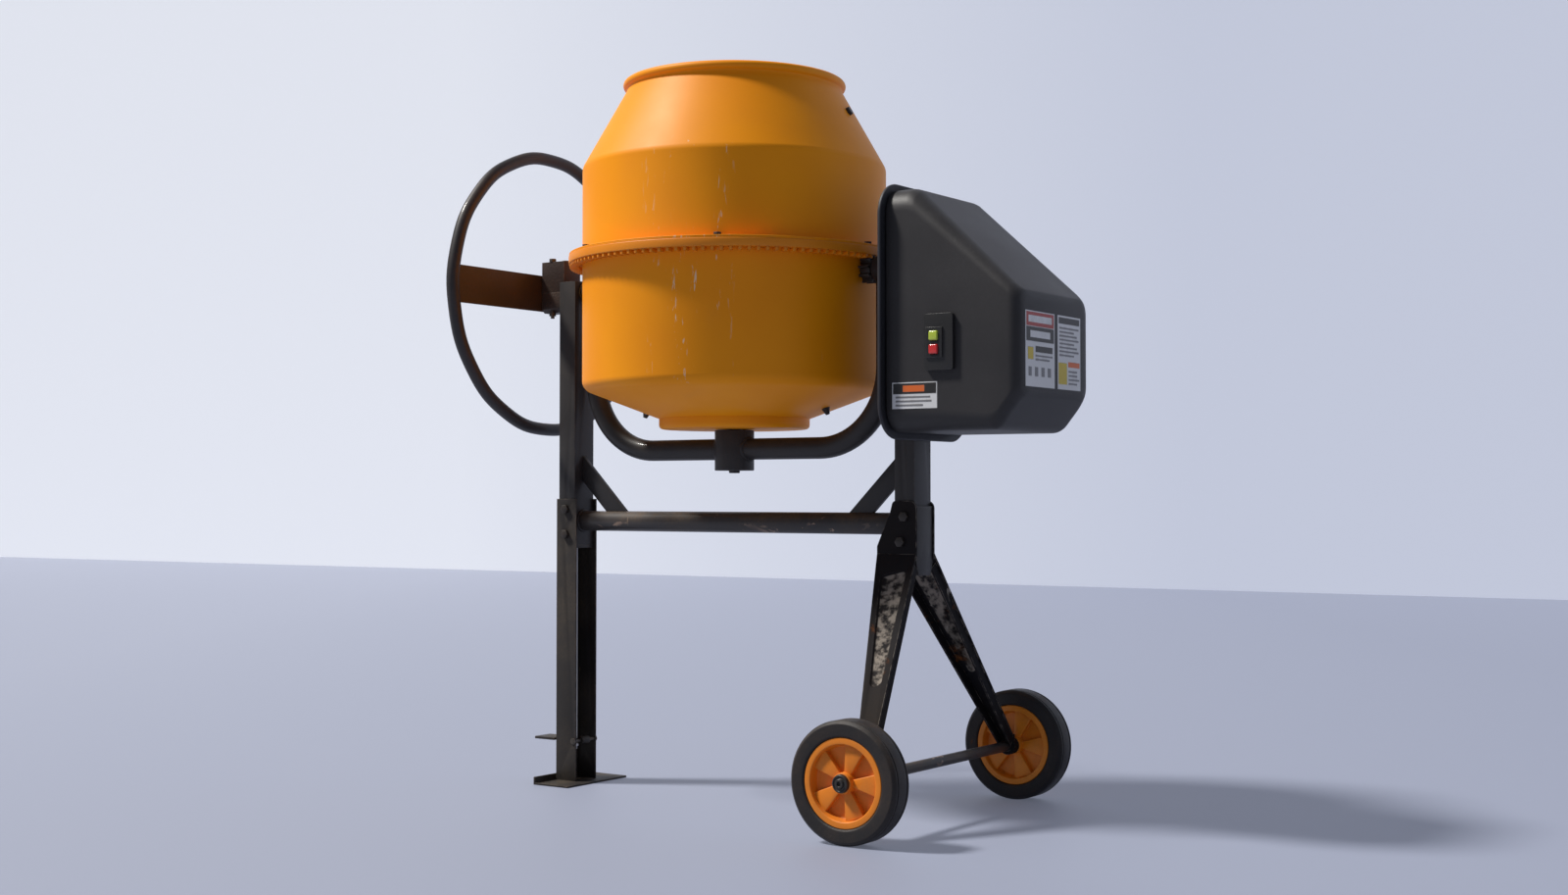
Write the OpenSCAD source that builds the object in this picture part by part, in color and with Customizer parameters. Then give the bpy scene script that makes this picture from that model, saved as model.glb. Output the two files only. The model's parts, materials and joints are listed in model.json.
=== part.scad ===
// Concrete mixer: a drum on a tilting yoke, carried by two posts, one foot and a pair of wheels.
// X runs from the tilt wheel to the motor housing, Y runs along the axle, and Z is up from the floor.
// Modules are drawn about the drum's axis, and place() sets them about the middle of the machine.

/* [Drum] */
// Outside diameter of the drum's cylinder
drum_d = 600; // [560:5:620]
// Sheet thickness of the drum
drum_wall = 2.5; // [2:0.5:4]
// Height of the cylinder below the seam
drum_lower_h = 263; // [220:1:280]
// Height of the cylinder above the seam
drum_upper_h = 171; // [130:1:210]
// Drop of the bottom cone
base_cone_h = 57; // [40:1:70]
// Rise of the top cone
top_cone_h = 156; // [120:1:190]
// Outside diameter of the mouth's neck
mouth_d = 424; // [360:2:460]
// Thickness of the rolled bead round the mouth
bead_d = 17; // [12:1:22]
// Outside diameter of the dish under the drum
dish_d = 298; // [240:2:340]
// Depth of that dish
dish_h = 20.5; // [18:0.5:30]
// Sheet thickness of the dish
dish_wall = 4; // [3:0.5:6]

/* [Ring gear and pinion] */
// Height of the tilt axis above the floor
pivot_z = 1020; // [980:1:1060]
// Radial width of the ring gear
ring_w = 27; // [25:1:32]
// Thickness of the ring above its teeth
ring_t = 15.5; // [12:0.5:20]
// Teeth on the ring gear
ring_teeth = 120; // [120]
// Teeth on the pinion
pinion_teeth = 9; // [9]
// Height of a ring tooth
tooth_h = 7; // [6:0.5:7.5]
// Thickness of a ring tooth
tooth_t = 6.5; // [5:0.25:7]
// Number of seam bolts
seam_bolts = 6; // [4:1:8]
// Turn of the first seam bolt
seam_turn = 0; // [0:1:60]
// Turn of the first mixing blade
blade_turn = 10; // [0:1:60]

/* [Yoke] */
// Outside diameter of the yoke's tube
yoke_tube_d = 42; // [36:1:46]
// Wall of the yoke's tube
yoke_wall = 3; // [2:0.5:4]
// Bend radius of the yoke's centreline
yoke_bend_r = 150; // [120:5:160]
// Gap between the ring gear and the yoke
yoke_gap = 5; // [4:1:12]
// Outside diameter of the hub under the drum
hub_d = 78; // [74:1:90]
// Drop from the dish to the centre of the yoke's bottom tube
yoke_drop = 39.5; // [36:0.5:50]
// Diameter of the drum's spindle
spindle_d = 30; // [26:1:34]
// Diameter of the left trunnion's shaft
trunnion_d = 24; // [20:1:26]
// Outside diameter of the right trunnion's sleeve
sleeve_d = 40; // [36:1:42]
// Diameter of the drive shaft
drive_shaft_d = 20; // [16:1:22]

/* [Tilt wheel] */
// Diameter of the tilt wheel's centreline
tilt_wheel_d = 576; // [480:4:600]
// Diameter of the tilt wheel's tube
tilt_tube_d = 26; // [20:1:30]
// Height of the flat bar across the wheel
bar_h = 76; // [60:1:90]
// Thickness of that bar
bar_t = 6; // [4:1:8]

/* [Frame] */
// Width of a post along X
post_w = 42; // [38:1:50]
// Depth of a post along Y
post_d = 60; // [56:1:70]
// Wall of a post
post_wall = 2.5; // [2:0.5:4]
// Gap between the yoke and a post
post_gap = 13; // [10:1:20]
// Rise of the posts' tops above the tilt axis
post_rise = 20; // [18:1:25]
// Height of the left post's lower end
left_post_z = 491; // [440:1:500]
// Height of the right post's lower end
right_post_z = 480; // [440:1:500]
// Outside diameter of the cross bar
cross_d = 41; // [34:1:48]
// Height of the cross bar's axis
cross_z = 541.4; // [520:1:560]
// Width of a brace's strip
brace_w = 37; // [30:1:60]
// Thickness of a brace
brace_t = 10; // [6:1:14]
// Height at which a brace's centreline meets its post
brace_z = 651; // [630:1:670]

/* [Foot] */
// Width of the leg channel along X
leg_w = 52; // [48:1:60]
// Wall of the leg channel
leg_wall = 3.5; // [3:0.5:5]
// Height of the leg channel's top
leg_top_z = 587; // [580:1:620]
// Length of the foot plate along Y
foot_l = 190; // [150:5:240]
// Width of the foot plate along X
foot_w = 92; // [84:1:110]
// Thickness of the foot plate
foot_t = 4; // [3:0.5:6]
// Height of the foot plate's turned-up lip
foot_lip_h = 16; // [10:1:24]
// Height of the pedal's pivot
pedal_z = 86; // [80:1:110]

/* [Road wheels] */
// Outside diameter of a tyre
tyre_d = 213; // [190:1:230]
// Width of a tyre
tyre_w = 52; // [44:1:60]
// Outside diameter of a rim
rim_d = 156; // [140:1:166]
// Distance between the tyres' outer faces
track = 670; // [640:1:700]
// Diameter of the axle
axle_d = 20; // [16:1:22]
// Distance of the axle from the right post's centre
axle_out = 56; // [44:1:70]

/* [Motor housing] */
// Width of the cover along Y
cover_w = 282; // [270:1:300]
// Reach of the cover beyond the right post
cover_reach = 273; // [260:1:300]
// Height of the cover's top above the tilt axis
cover_rise = 126; // [120:1:150]
// Drop of the cover's underside below the tilt axis
cover_drop = 312; // [300:1:330]
// Wall of the cover
cover_wall = 3; // [2.5:0.5:4]
// Margin of the back panel beside the cover
panel_margin = 20; // [16:1:26]
// Rise of the back panel above the cover
panel_rise = 12; // [8:1:20]
// Thickness of the back panel
panel_t = 8; // [6:0.5:10]
// Radius of the driven pulley
pulley_r = 100; // [80:1:104]
// Radius of the motor's pulley
motor_pulley_r = 25; // [20:1:30]
// Drop from the tilt axis to the motor's axis
motor_drop = 210; // [200:1:215]
// Radius of the motor's casing
motor_r = 60; // [50:1:64]
// Length of the motor's casing
motor_l = 148; // [130:1:160]

/* [Fits] */
// Radial clearance of a running fit
run_fit = 0.05; // [0.02:0.01:0.08]
// Gap between the tips and the roots of the gears
gear_gap = 1; // [0.5:0.25:1.5]

/* [Hidden] */
$fn = 96;
drum_r = drum_d / 2;
ring_r = drum_r + ring_w;
ring_mid_r = drum_r + ring_w * 0.56;
pitch_r = ring_mid_r * pinion_teeth / ring_teeth;
pinion_tip_r = pitch_r + tooth_h / 2 - gear_gap;
pinion_root_r = pitch_r - tooth_h / 2 - gear_gap;
ring_root_z = pivot_z + pitch_r + tooth_h / 2;
ring_top_z = ring_root_z + ring_t;
seam_z = ring_top_z + drum_wall;
shoulder_z = seam_z + drum_upper_h;
cone_top_z = shoulder_z + top_cone_h;
neck_h = 10.5;
bead_z = cone_top_z + neck_h;
mouth_r = mouth_d / 2;
crease_z = seam_z - drum_lower_h;
floor_z = crease_z - base_cone_h;
dish_z = floor_z - dish_h;
dish_r = dish_d / 2;
lip_r = ring_r - 1;
soft_r = 24;
pinion_x0 = drum_r + 4;
pinion_x1 = ring_r - 1;

yoke_r = yoke_tube_d / 2;
yoke_x = ring_r + yoke_gap + yoke_r;
yoke_z = dish_z - yoke_drop;
hub_r = hub_d / 2;
hub_top_z = dish_z - 2;
hub_bottom_z = yoke_z - yoke_r - 21;
hub_bore_r = 31;
bearing_w = 16;
bearing_inset = 6;
hub_cap_t = 5;
spindle_r = spindle_d / 2;
boss_r = yoke_r + 4;
trunnion_r = trunnion_d / 2;
sleeve_r = sleeve_d / 2;
sleeve_bore_r = drive_shaft_d / 2 + 4;
bush_t = 3;
drive_r = drive_shaft_d / 2;

post_in = yoke_x + yoke_r + post_gap;
post_x = post_in + post_w / 2;
post_out = post_in + post_w;
post_top_z = pivot_z + post_rise;
cover_x0 = post_out + panel_t;
cover_x1 = post_out + cover_reach;
block_out = post_out + 53;
block_lip = 8;
block_hw = 26;
cap_rise = 65;
base_drop = 42;
block_bolt_y = 20.5;
block_bolt_x = post_out + 28;
bar_x = block_out + 2;
hub_plate_t = 8;
hub_head_h = 5;
wheel_x = bar_x + bar_t / 2;
left_end = bar_x + bar_t + hub_plate_t + hub_head_h;
label_t = 0.8;
drum_x = (left_end - cover_x1 - label_t) / 2;

collar_r = 20;
collar_w = 14;
notch_w = 10;
notch_depth = 5;
rod_r = 4;
rod_top_z = pivot_z - collar_r - 0.6;
pedal_pivot_x = post_in - 1;
pedal_t = 5;
pedal_pin_r = 4;
spring_h = 40;
guide_t = 6;

leg_x1 = post_out + leg_wall;
leg_x0 = leg_x1 - leg_w;
foot_x1 = leg_x1 + 8;
clip_bolt_zs = [leg_top_z - 21, leg_top_z - 73];
axle_x = post_x + axle_out;
axle_z = tyre_d / 2;
axle_r = axle_d / 2;
axle_end = track / 2 + 3;
bracket_t = 4;
bracket_top_z = right_post_z + 104;
bracket_bolts = [[post_x + 2, bracket_top_z - 29], [post_x - 6, bracket_top_z - 76]];
tab_y = track / 2 - tyre_w - 19;
tab_t = 6;

cover_top_z = pivot_z + cover_rise;
cover_bottom_z = pivot_z - cover_drop;
motor_z = pivot_z - motor_drop;
pulley_x = cover_x0 + 33;
pulley_w = 22;
motor_x = pulley_x + pulley_w + 15;
belt_t = 8;
belt_w = 16;
belt_gap = 0.4;
switch_x = post_out + 119;
switch_z = motor_z + 54;
button_x = switch_x - 8;
button_hw = 9;
button_hh = 8.5;
button_fit = 0.5;
start_dz = 11;
stop_dz = -13;
cover_y = cover_w / 2;
slope_x = post_out + 56;
slope_z = pivot_z - 73;
nose_x = cover_x1 - 49;
nose_z = cover_bottom_z + 62;
boss_zs = [cover_bottom_z + 82, cover_top_z - 72];

// ---- helpers ----

module place() {
    translate([drum_x, 0, 0]) children();
}

// A round bar along X between two places.
module bar_along_x(r, x0, x1) {
    translate([x0, 0, 0]) rotate([0, 90, 0]) cylinder(r = r, h = x1 - x0);
}

// A round bar along Y between two places.
module bar_along_y(r, y0, y1) {
    translate([0, y0, 0]) rotate([-90, 0, 0]) cylinder(r = r, h = y1 - y0);
}

// A box from its low corner to its high corner.
module block(low, high) {
    translate(low) cube(high - low);
}

// A flat outline in X and Z, thickened along Y between two places.
module plate_xz(y0, y1) {
    translate([0, y1, 0]) rotate([90, 0, 0]) linear_extrude(y1 - y0) children();
}

// A flat outline in Y and Z, thickened along X between two places.
module plate_yz(x0, x1) {
    translate([x0, 0, 0]) rotate([90, 0, 90]) linear_extrude(x1 - x0) children();
}

function unit(v) = v / norm(v);

// Points of the arc that rounds the corner at b.
function corner_arc(a, b, c, r, n) =
    let (u = unit(a - b), v = unit(c - b), half = acos(u * v) / 2,
         centre = b + unit(u + v) * r / sin(half),
         p = b + u * r / tan(half), q = b + v * r / tan(half),
         from = atan2(p.y - centre.y, p.x - centre.x),
         to = atan2(q.y - centre.y, q.x - centre.x),
         turn = ((to - from + 540) % 360) - 180)
    [for (i = [0:n]) centre + r * [cos(from + turn * i / n), sin(from + turn * i / n)]];

// A closed outline whose corners are rounded by the radii in rs; 0 keeps a corner sharp.
function rounded(pts, rs, n = 5) =
    let (m = len(pts))
    [for (i = [0:m - 1]) each (rs[i] > 0
        ? corner_arc(pts[(i + m - 1) % m], pts[i], pts[(i + 1) % m], rs[i], n)
        : [pts[i]])];

// A hexagon bolt along +Z: its head stands on z = 0 and its shank goes down.
module hex_bolt(shank_r, shank_l, head_h) {
    translate([0, 0, -shank_l]) cylinder(r = shank_r, h = shank_l + head_h / 2);
    cylinder(r = shank_r * 1.9, h = head_h, $fn = 6);
}

// ---- frame ----

module post(bottom_z) {
    difference() {
        block([-post_w / 2, -post_d / 2, bottom_z], [post_w / 2, post_d / 2, post_top_z]);
        block([-post_w / 2 + post_wall, -post_d / 2 + post_wall, bottom_z - 1],
              [post_w / 2 - post_wall, post_d / 2 - post_wall, post_top_z + 1]);
    }
}

module left_post() {
    color("#26262a") difference() {
        translate([-post_x, 0, 0]) post(left_post_z);
        translate([0, 0, pivot_z]) bar_along_x(trunnion_r + bush_t, -post_out - 1, -post_in + 1);
        clip_holes();
    }
}

module right_post() {
    color("#26262a") difference() {
        translate([post_x, 0, 0]) post(right_post_z);
        translate([0, 0, pivot_z]) bar_along_x(sleeve_r + bush_t, post_in - 1, post_out + 1);
        bracket_holes();
    }
}

clip_bolt_r = 5;
module clip_holes() {
    for (z = clip_bolt_zs) {
        translate([-post_x, 0, z]) bar_along_y(clip_bolt_r, -post_d, post_d);
    }
}

module bracket_holes() {
    for (p = bracket_bolts) {
        translate([p.x, 0, p.y]) bar_along_y(clip_bolt_r, -post_d, post_d);
    }
}

// Channel under the left post, open towards the drum, with a slot for the pedal.
module left_leg() {
    half = post_d / 2;
    color("#29272a") difference() {
        block([-leg_x1, -half - leg_wall, foot_t], [-leg_x0, half + leg_wall, leg_top_z]);
        block([-post_out, -half, foot_t - 1], [-leg_x0 + 1, half, leg_top_z + 1]);
        block([-leg_x1 - 1, -14, pedal_z - 50], [-post_out + 1, 14, pedal_z + 10]);
        translate([-pedal_pivot_x, 0, pedal_z]) bar_along_y(pedal_pin_r, -post_d, post_d);
        clip_holes();
    }
}

module foot_plate() {
    color("#2b2a2c") {
        block([-foot_x1, -foot_l / 2, 0], [-foot_x1 + foot_w, foot_l / 2, foot_t]);
        block([-foot_x1, -foot_l / 2, 0], [-foot_x1 + foot_t, foot_l / 2, foot_lip_h]);
    }
}

module cross_bar() {
    color("#232327") translate([0, 0, cross_z]) difference() {
        bar_along_x(cross_d / 2, -post_in, post_in);
        bar_along_x(cross_d / 2 - 2.5, -post_in - 1, post_in + 1);
    }
}

// Slanting strips between the posts and the cross bar.
module braces() {
    reach = (brace_z - cross_z) * sqrt(2) + brace_w;
    color("#232327") for (side = [-1, 1]) {
        difference() {
            intersection() {
                translate([side * post_in, 0, brace_z]) rotate([0, side * 45, 0])
                    block([-brace_w / 2, -brace_t / 2, -reach], [brace_w / 2, brace_t / 2, brace_w]);
                block([-post_in, -brace_t, cross_z], [post_in, brace_t, post_top_z]);
            }
            translate([0, 0, cross_z]) bar_along_x(cross_d / 2, -post_in - 1, post_in + 1);
        }
    }
}

// Stamped leg from the right post out to the axle, drawn for the -Y side.
module wheel_leg() {
    face_y = -post_d / 2;
    start = [face_y - bracket_t / 2, right_post_z + 2];
    finish = [-tab_y - tab_t / 2, axle_z + 13.5];
    run = finish - start;
    leg_l = norm(run);
    lean = atan2(-run.x, -run.y);
    foot_half = 14;
    top_x0 = post_in - 36;
    top_x1 = post_out + 6;
    difference() {
        union() {
            plate_xz(face_y - bracket_t, face_y) polygon(rounded(
                [[post_in - 2, bracket_top_z], [top_x1, bracket_top_z], [top_x1, right_post_z - 4],
                 [top_x0, right_post_z - 4], [top_x0, right_post_z + 20],
                 [post_in - 8, bracket_top_z - 22]], [8, 14, 0, 0, 8, 12]));
            translate([0, start.x, start.y]) rotate([-lean, 0, 0]) {
                plate_xz(-bracket_t, 0) polygon([[top_x0, 2], [top_x1, 2],
                    [axle_x + foot_half, -leg_l], [axle_x - foot_half, -leg_l]]);
                difference() {
                    plate_xz(-bracket_t, 18) polygon([
                        [top_x0 + 4, -16], [top_x1 - 2, -16],
                        [axle_x + foot_half, -leg_l], [axle_x - foot_half, -leg_l]]);
                    plate_xz(0, 19) polygon([
                        [top_x0 + 8, -15], [top_x1 - 6, -15],
                        [axle_x + foot_half - 4, -leg_l - 1], [axle_x - foot_half + 4, -leg_l - 1]]);
                }
            }
            translate([axle_x, 0, axle_z]) bar_along_y(axle_r + 7, -tab_y - tab_t - 12, -tab_y);
            block([axle_x - foot_half, -tab_y - tab_t, axle_z],
                  [axle_x + foot_half, -tab_y, axle_z + 24]);
        }
        translate([axle_x, 0, axle_z]) bar_along_y(axle_r, -track / 2, -tab_y + 20);
        block([axle_x - 60, -track / 2, -1], [axle_x + 60, -tab_y - tab_t - 12, axle_z * 2]);
        bracket_holes();
    }
}

module front_wheel_leg() {
    color("#27262a") wheel_leg();
}

module rear_wheel_leg() {
    color("#27262a") mirror([0, 1, 0]) wheel_leg();
}

// Web that joins the two legs round the post's outer face.
module leg_saddle() {
    reach = post_d / 2;
    low_z = right_post_z - 34;
    color("#27262a") difference() {
        plate_yz(post_out, post_out + bracket_t) polygon(rounded(
            [[-reach, bracket_top_z - 10], [-reach, right_post_z - 10], [-reach + 8, low_z],
             [reach - 8, low_z], [reach, right_post_z - 10], [reach, bracket_top_z - 10]],
            [4, 4, 4, 4, 4, 4]));
        wheel_leg();
        mirror([0, 1, 0]) wheel_leg();
    }
}

// Short bolts with their nuts inside the posts: two on each face of each joint.
module frame_bolts() {
    color("#8b8d90") {
        for (z = clip_bolt_zs, side = [-1, 1]) {
            translate([-post_x, side * (post_d / 2 + leg_wall), z]) rotate([-90 * side, 0, 0])
                hex_bolt(clip_bolt_r, leg_wall + 12, 7);
        }
        for (p = bracket_bolts, side = [-1, 1]) {
            translate([p.x, side * (post_d / 2 + bracket_t), p.y]) rotate([-90 * side, 0, 0])
                hex_bolt(clip_bolt_r, bracket_t + 12, 7);
        }
    }
}

// ---- road wheels ----

module axle() {
    color("#3a3a3d") translate([axle_x, 0, axle_z]) bar_along_y(axle_r, -axle_end, axle_end);
}

module tyre() {
    hw = tyre_w / 2;
    r0 = rim_d / 2;
    r1 = tyre_d / 2;
    groove = 3;
    rotate([90, 0, 0]) rotate_extrude() difference() {
        polygon(rounded([[r0, -hw + 3], [r1 - 10, -hw], [r1, -hw + 7], [r1, hw - 7],
            [r1 - 10, hw], [r0, hw - 3]], [0, 6, 4, 4, 6, 0], 3));
        for (y = [-9, 9]) {
            translate([r1 - groove, y - groove / 2]) square([groove + 1, groove]);
        }
    }
}

// Moulded rim: hub, recessed web, raised spokes and the band under the tyre.
module rim() {
    hw = tyre_w / 2;
    r1 = rim_d / 2;
    hub_hw = hw - 1;
    difference() {
        union() {
            rotate([90, 0, 0]) rotate_extrude() {
                translate([0, -hub_hw]) square([17, hub_hw * 2]);
                translate([0, -4]) square([r1 - 2, 8]);
                polygon([[r1, -hw + 3], [r1, hw - 3], [r1 - 12, hw - 4], [r1 - 15, hw - 8],
                    [r1 - 15, -hw + 8], [r1 - 12, -hw + 4]]);
            }
            for (i = [0:4]) {
                rotate([0, 72 * i, 0]) plate_xz(-hw + 7, hw - 7)
                    polygon([[12, -6.5], [r1 - 13, -19.5], [r1 - 13, 19.5], [12, 6.5]]);
            }
        }
        bar_along_y(axle_r + run_fit, -tyre_w, tyre_w);
    }
}

wheel_y = track / 2 - tyre_w / 2;
module front_tyre() {
    color("#1b1a1a") translate([axle_x, -wheel_y, axle_z]) tyre();
}

module rear_tyre() {
    color("#1b1a1a") translate([axle_x, wheel_y, axle_z]) tyre();
}

module front_rim() {
    color("#e07a10") translate([axle_x, -wheel_y, axle_z]) rim();
}

module rear_rim() {
    color("#e07a10") translate([axle_x, wheel_y, axle_z]) rim();
}

// Push-on cap that holds a wheel on the axle's end.
module hub_cap_shape() {
    hw = tyre_w / 2;
    end = axle_end - wheel_y;
    difference() {
        bar_along_y(16, -end - 5, -hw + 1);
        bar_along_y(axle_r + run_fit, -end - 0.5, -hw + 2);
    }
}

module front_hub_cap() {
    color("#202022") translate([axle_x, -wheel_y, axle_z]) hub_cap_shape();
}

module rear_hub_cap() {
    color("#202022") translate([axle_x, wheel_y, axle_z]) mirror([0, 1, 0]) hub_cap_shape();
}

// ---- foot pedal and tilt lock ----

// Lever through the leg's slot, with a tread outside and an eye round the pin.
module foot_pedal() {
    tread_x = leg_x1 + 14;
    tip_x = leg_x1 + 67;
    color("#2c2b2d") difference() {
        union() {
            block([-tip_x, -12, pedal_z - pedal_t / 2], [-pedal_pivot_x, 12, pedal_z + pedal_t / 2]);
            block([-tip_x, -24, pedal_z - pedal_t / 2], [-tread_x, 24, pedal_z + pedal_t / 2]);
            translate([-pedal_pivot_x, 0, pedal_z]) bar_along_y(pedal_pin_r + 4, -12, 12);
        }
        translate([-pedal_pivot_x, 0, pedal_z])
            bar_along_y(pedal_pin_r + run_fit, -13, 13);
        translate([-post_x, 0, pedal_z - 10]) cylinder(r = rod_r + 3, h = 20);
    }
}

module pedal_pin() {
    color("#8b8d90") translate([-pedal_pivot_x, 0, pedal_z]) {
        bar_along_y(pedal_pin_r, -post_d / 2 - leg_wall - 2, post_d / 2 + leg_wall + 2);
        bar_along_y(pedal_pin_r + 2.5, -post_d / 2 - leg_wall - 2, -post_d / 2 - leg_wall);
        bar_along_y(pedal_pin_r + 2.5, post_d / 2 + leg_wall, post_d / 2 + leg_wall + 2);
    }
}

// Plate that closes the post's lower end and guides the lock rod.
module rod_guide() {
    color("#3b3b3e") difference() {
        block([-post_out, -post_d / 2, left_post_z - guide_t],
              [-post_in, post_d / 2, left_post_z]);
        translate([-post_x, 0, left_post_z - guide_t - 1]) cylinder(r = rod_r + 0.08, h = guide_t + 2);
    }
}

// Rod from the pedal up inside the post to the notched collar.
module lock_rod() {
    collar_z = left_post_z + spring_h;
    color("#8b8d90") translate([-post_x, 0, 0]) {
        translate([0, 0, pedal_z - 20]) cylinder(r = rod_r, h = rod_top_z - pedal_z + 20);
        translate([0, 0, collar_z]) cylinder(r = rod_r + 5, h = 5);
        translate([0, 0, pedal_z - pedal_t / 2 - 11]) cylinder(r = rod_r * 1.8, h = 7, $fn = 6);
    }
}

// Outer shape of the coil spring that lifts the rod.
module lock_spring() {
    color("#a0a2a5") translate([-post_x, 0, left_post_z]) difference() {
        cylinder(r = rod_r + 4.5, h = spring_h);
        translate([0, 0, -1]) cylinder(r = rod_r + 1.5, h = spring_h + 2);
    }
}

// ---- left bearing ----

module block_bolt_places() {
    for (side = [-1, 1]) {
        translate([-block_bolt_x, side * block_bolt_y, 0]) children();
    }
}

module block_bores() {
    translate([0, 0, pivot_z]) bar_along_x(trunnion_r + bush_t, -block_out - 1, -post_out + 20);
    block_bolt_places() translate([0, 0, pivot_z - 90]) cylinder(r = 4, h = 200);
}

module left_bearing_base() {
    color("#2b2323") difference() {
        plate_yz(-block_out, -post_out) polygon(rounded(
            [[-block_hw, pivot_z], [-block_hw, pivot_z - base_drop + 8],
             [-block_hw + 8, pivot_z - base_drop], [block_hw - 8, pivot_z - base_drop],
             [block_hw, pivot_z - base_drop + 8], [block_hw, pivot_z]], [0, 4, 4, 4, 4, 0]));
        block_bores();
    }
}

// Upper half of the block, with a lip that lies on the post's top.
module left_bearing_cap() {
    color("#3a2c2a") difference() {
        union() {
            block([-block_out, -block_hw, pivot_z], [-post_out, block_hw, pivot_z + cap_rise]);
            block([-post_out - 1, -block_hw, post_top_z],
                  [-post_out + block_lip, block_hw, pivot_z + cap_rise]);
        }
        block_bores();
    }
}

module bearing_bolts() {
    color("#77797c") block_bolt_places() {
        translate([0, 0, pivot_z + cap_rise]) hex_bolt(4, cap_rise + base_drop + 12, 7);
        translate([0, 0, pivot_z - base_drop - 7]) cylinder(r = 7.5, h = 7, $fn = 6);
    }
}

// Bronze bushes: a long one through the left block, and flanged ones in the posts' walls.
module post_bushes() {
    color("#b08545") translate([0, 0, pivot_z]) {
        bush(trunnion_r, -block_out, -post_out + post_wall);
        bush(trunnion_r, -post_in - post_wall, -post_in);
        flange(trunnion_r, -post_in, -post_in + 2);
        bush(sleeve_r, post_in, post_in + post_wall);
        flange(sleeve_r, post_in - 2, post_in);
        bush(sleeve_r, post_out - post_wall, post_out);
    }
}

module bush(inner_r, x0, x1) {
    difference() {
        bar_along_x(inner_r + bush_t, x0, x1);
        bar_along_x(inner_r + run_fit, x0 - 1, x1 + 1);
    }
}

module flange(inner_r, x0, x1) {
    difference() {
        bar_along_x(inner_r + bush_t + 3, x0, x1);
        bar_along_x(inner_r + run_fit, x0 - 1, x1 + 1);
    }
}

// ---- tilt wheel ----

module tilt_ring() {
    translate([-wheel_x, 0, pivot_z]) rotate([0, 90, 0]) rotate_extrude($fn = 144)
        translate([tilt_wheel_d / 2, 0]) circle(d = tilt_tube_d, $fn = 32);
}

module hub_bolt_places() {
    for (sy = [-1, 1], sz = [-1, 1]) {
        translate([0, sy * 22, pivot_z + sz * 25]) children();
    }
}

// Round tube with a flat bar welded across its middle.
module tilt_wheel() {
    half = tilt_wheel_d / 2;
    color("#212024") difference() {
        union() {
            tilt_ring();
            block([-bar_x - bar_t, -half, pivot_z - bar_h / 2], [-bar_x, half, pivot_z + bar_h / 2]);
        }
        translate([0, 0, pivot_z]) bar_along_x(trunnion_r, -bar_x - 20, -bar_x + 1);
        hub_bolt_places() bar_along_x(4, -bar_x - 20, -bar_x + 1);
    }
}

module wheel_hub() {
    x0 = -bar_x - bar_t - hub_plate_t;
    color("#302b2b") difference() {
        plate_yz(x0, -bar_x - bar_t) translate([0, pivot_z])
            polygon(rounded([[-32, -36], [32, -36], [32, 36], [-32, 36]], [8, 8, 8, 8]));
        translate([0, 0, pivot_z]) bar_along_x(trunnion_r, x0 - 1, -bar_x);
        hub_bolt_places() bar_along_x(4, x0 - 1, -bar_x);
    }
}

module hub_bolts() {
    color("#77797c") hub_bolt_places() translate([-bar_x - bar_t - hub_plate_t, 0, 0])
        rotate([0, -90, 0]) hex_bolt(4, hub_plate_t + bar_t, hub_head_h);
}

// ---- trunnions and yoke ----

// Turned shaft with the boss that the yoke is welded to and the notched lock collar.
module left_trunnion() {
    color("#55565a") translate([0, 0, pivot_z]) {
        bar_along_x(trunnion_r, -left_end, -yoke_x - yoke_r);
        bar_along_x(boss_r, -yoke_x - yoke_r, -yoke_x + yoke_r);
        difference() {
            bar_along_x(collar_r, -post_x - collar_w / 2, -post_x + collar_w / 2);
            for (turn = [0:30:330]) {
                rotate([turn, 0, 0]) block([-post_x - collar_w, -notch_w / 2, -collar_r - 1],
                    [-post_x + collar_w, notch_w / 2, -collar_r + notch_depth]);
            }
        }
    }
}

module right_trunnion() {
    color("#55565a") translate([0, 0, pivot_z]) difference() {
        union() {
            bar_along_x(boss_r, yoke_x - yoke_r, yoke_x + yoke_r);
            bar_along_x(sleeve_r, yoke_x, post_out + panel_t + 3);
        }
        bar_along_x(sleeve_bore_r, yoke_x - yoke_r - 1, post_out + panel_t + 4);
    }
}

module shaft_bushes() {
    x_in = yoke_x - yoke_r;
    x_out = post_out + panel_t + 3;
    color("#b08545") translate([0, 0, pivot_z]) {
        for (x = [x_in, x_out - 20]) {
            difference() {
                bar_along_x(sleeve_bore_r, x, x + 20);
                bar_along_x(drive_r + run_fit, x - 1, x + 21);
            }
        }
    }
}

// One bent tube, drawn for the +X side: down from the trunnion, round the bend, in to the hub.
module yoke_arm() {
    bend_x = yoke_x - yoke_bend_r;
    bend_z = yoke_z + yoke_bend_r;
    difference() {
        yoke_tube(yoke_r, bend_x, bend_z, 0);
        yoke_tube(yoke_r - yoke_wall, bend_x, bend_z, 1);
        translate([0, 0, pivot_z]) bar_along_x(boss_r, yoke_x - yoke_r * 2, yoke_x + yoke_r * 2);
        translate([0, 0, yoke_z - yoke_r * 2]) cylinder(r = hub_r, h = yoke_r * 4);
    }
}

module yoke_tube(r, bend_x, bend_z, over) {
    translate([yoke_x, 0, bend_z]) cylinder(r = r, h = pivot_z - bend_z + over);
    translate([bend_x, 0, bend_z]) rotate([90, 0, 0]) rotate_extrude(angle = -90)
        translate([yoke_bend_r, 0]) circle(r = r);
    translate([0, 0, yoke_z]) bar_along_x(r, hub_r / 2 - over, bend_x);
}

module yoke_arm_right() {
    color("#242428") yoke_arm();
}

module yoke_arm_left() {
    color("#242428") mirror([1, 0, 0]) yoke_arm();
}

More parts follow.
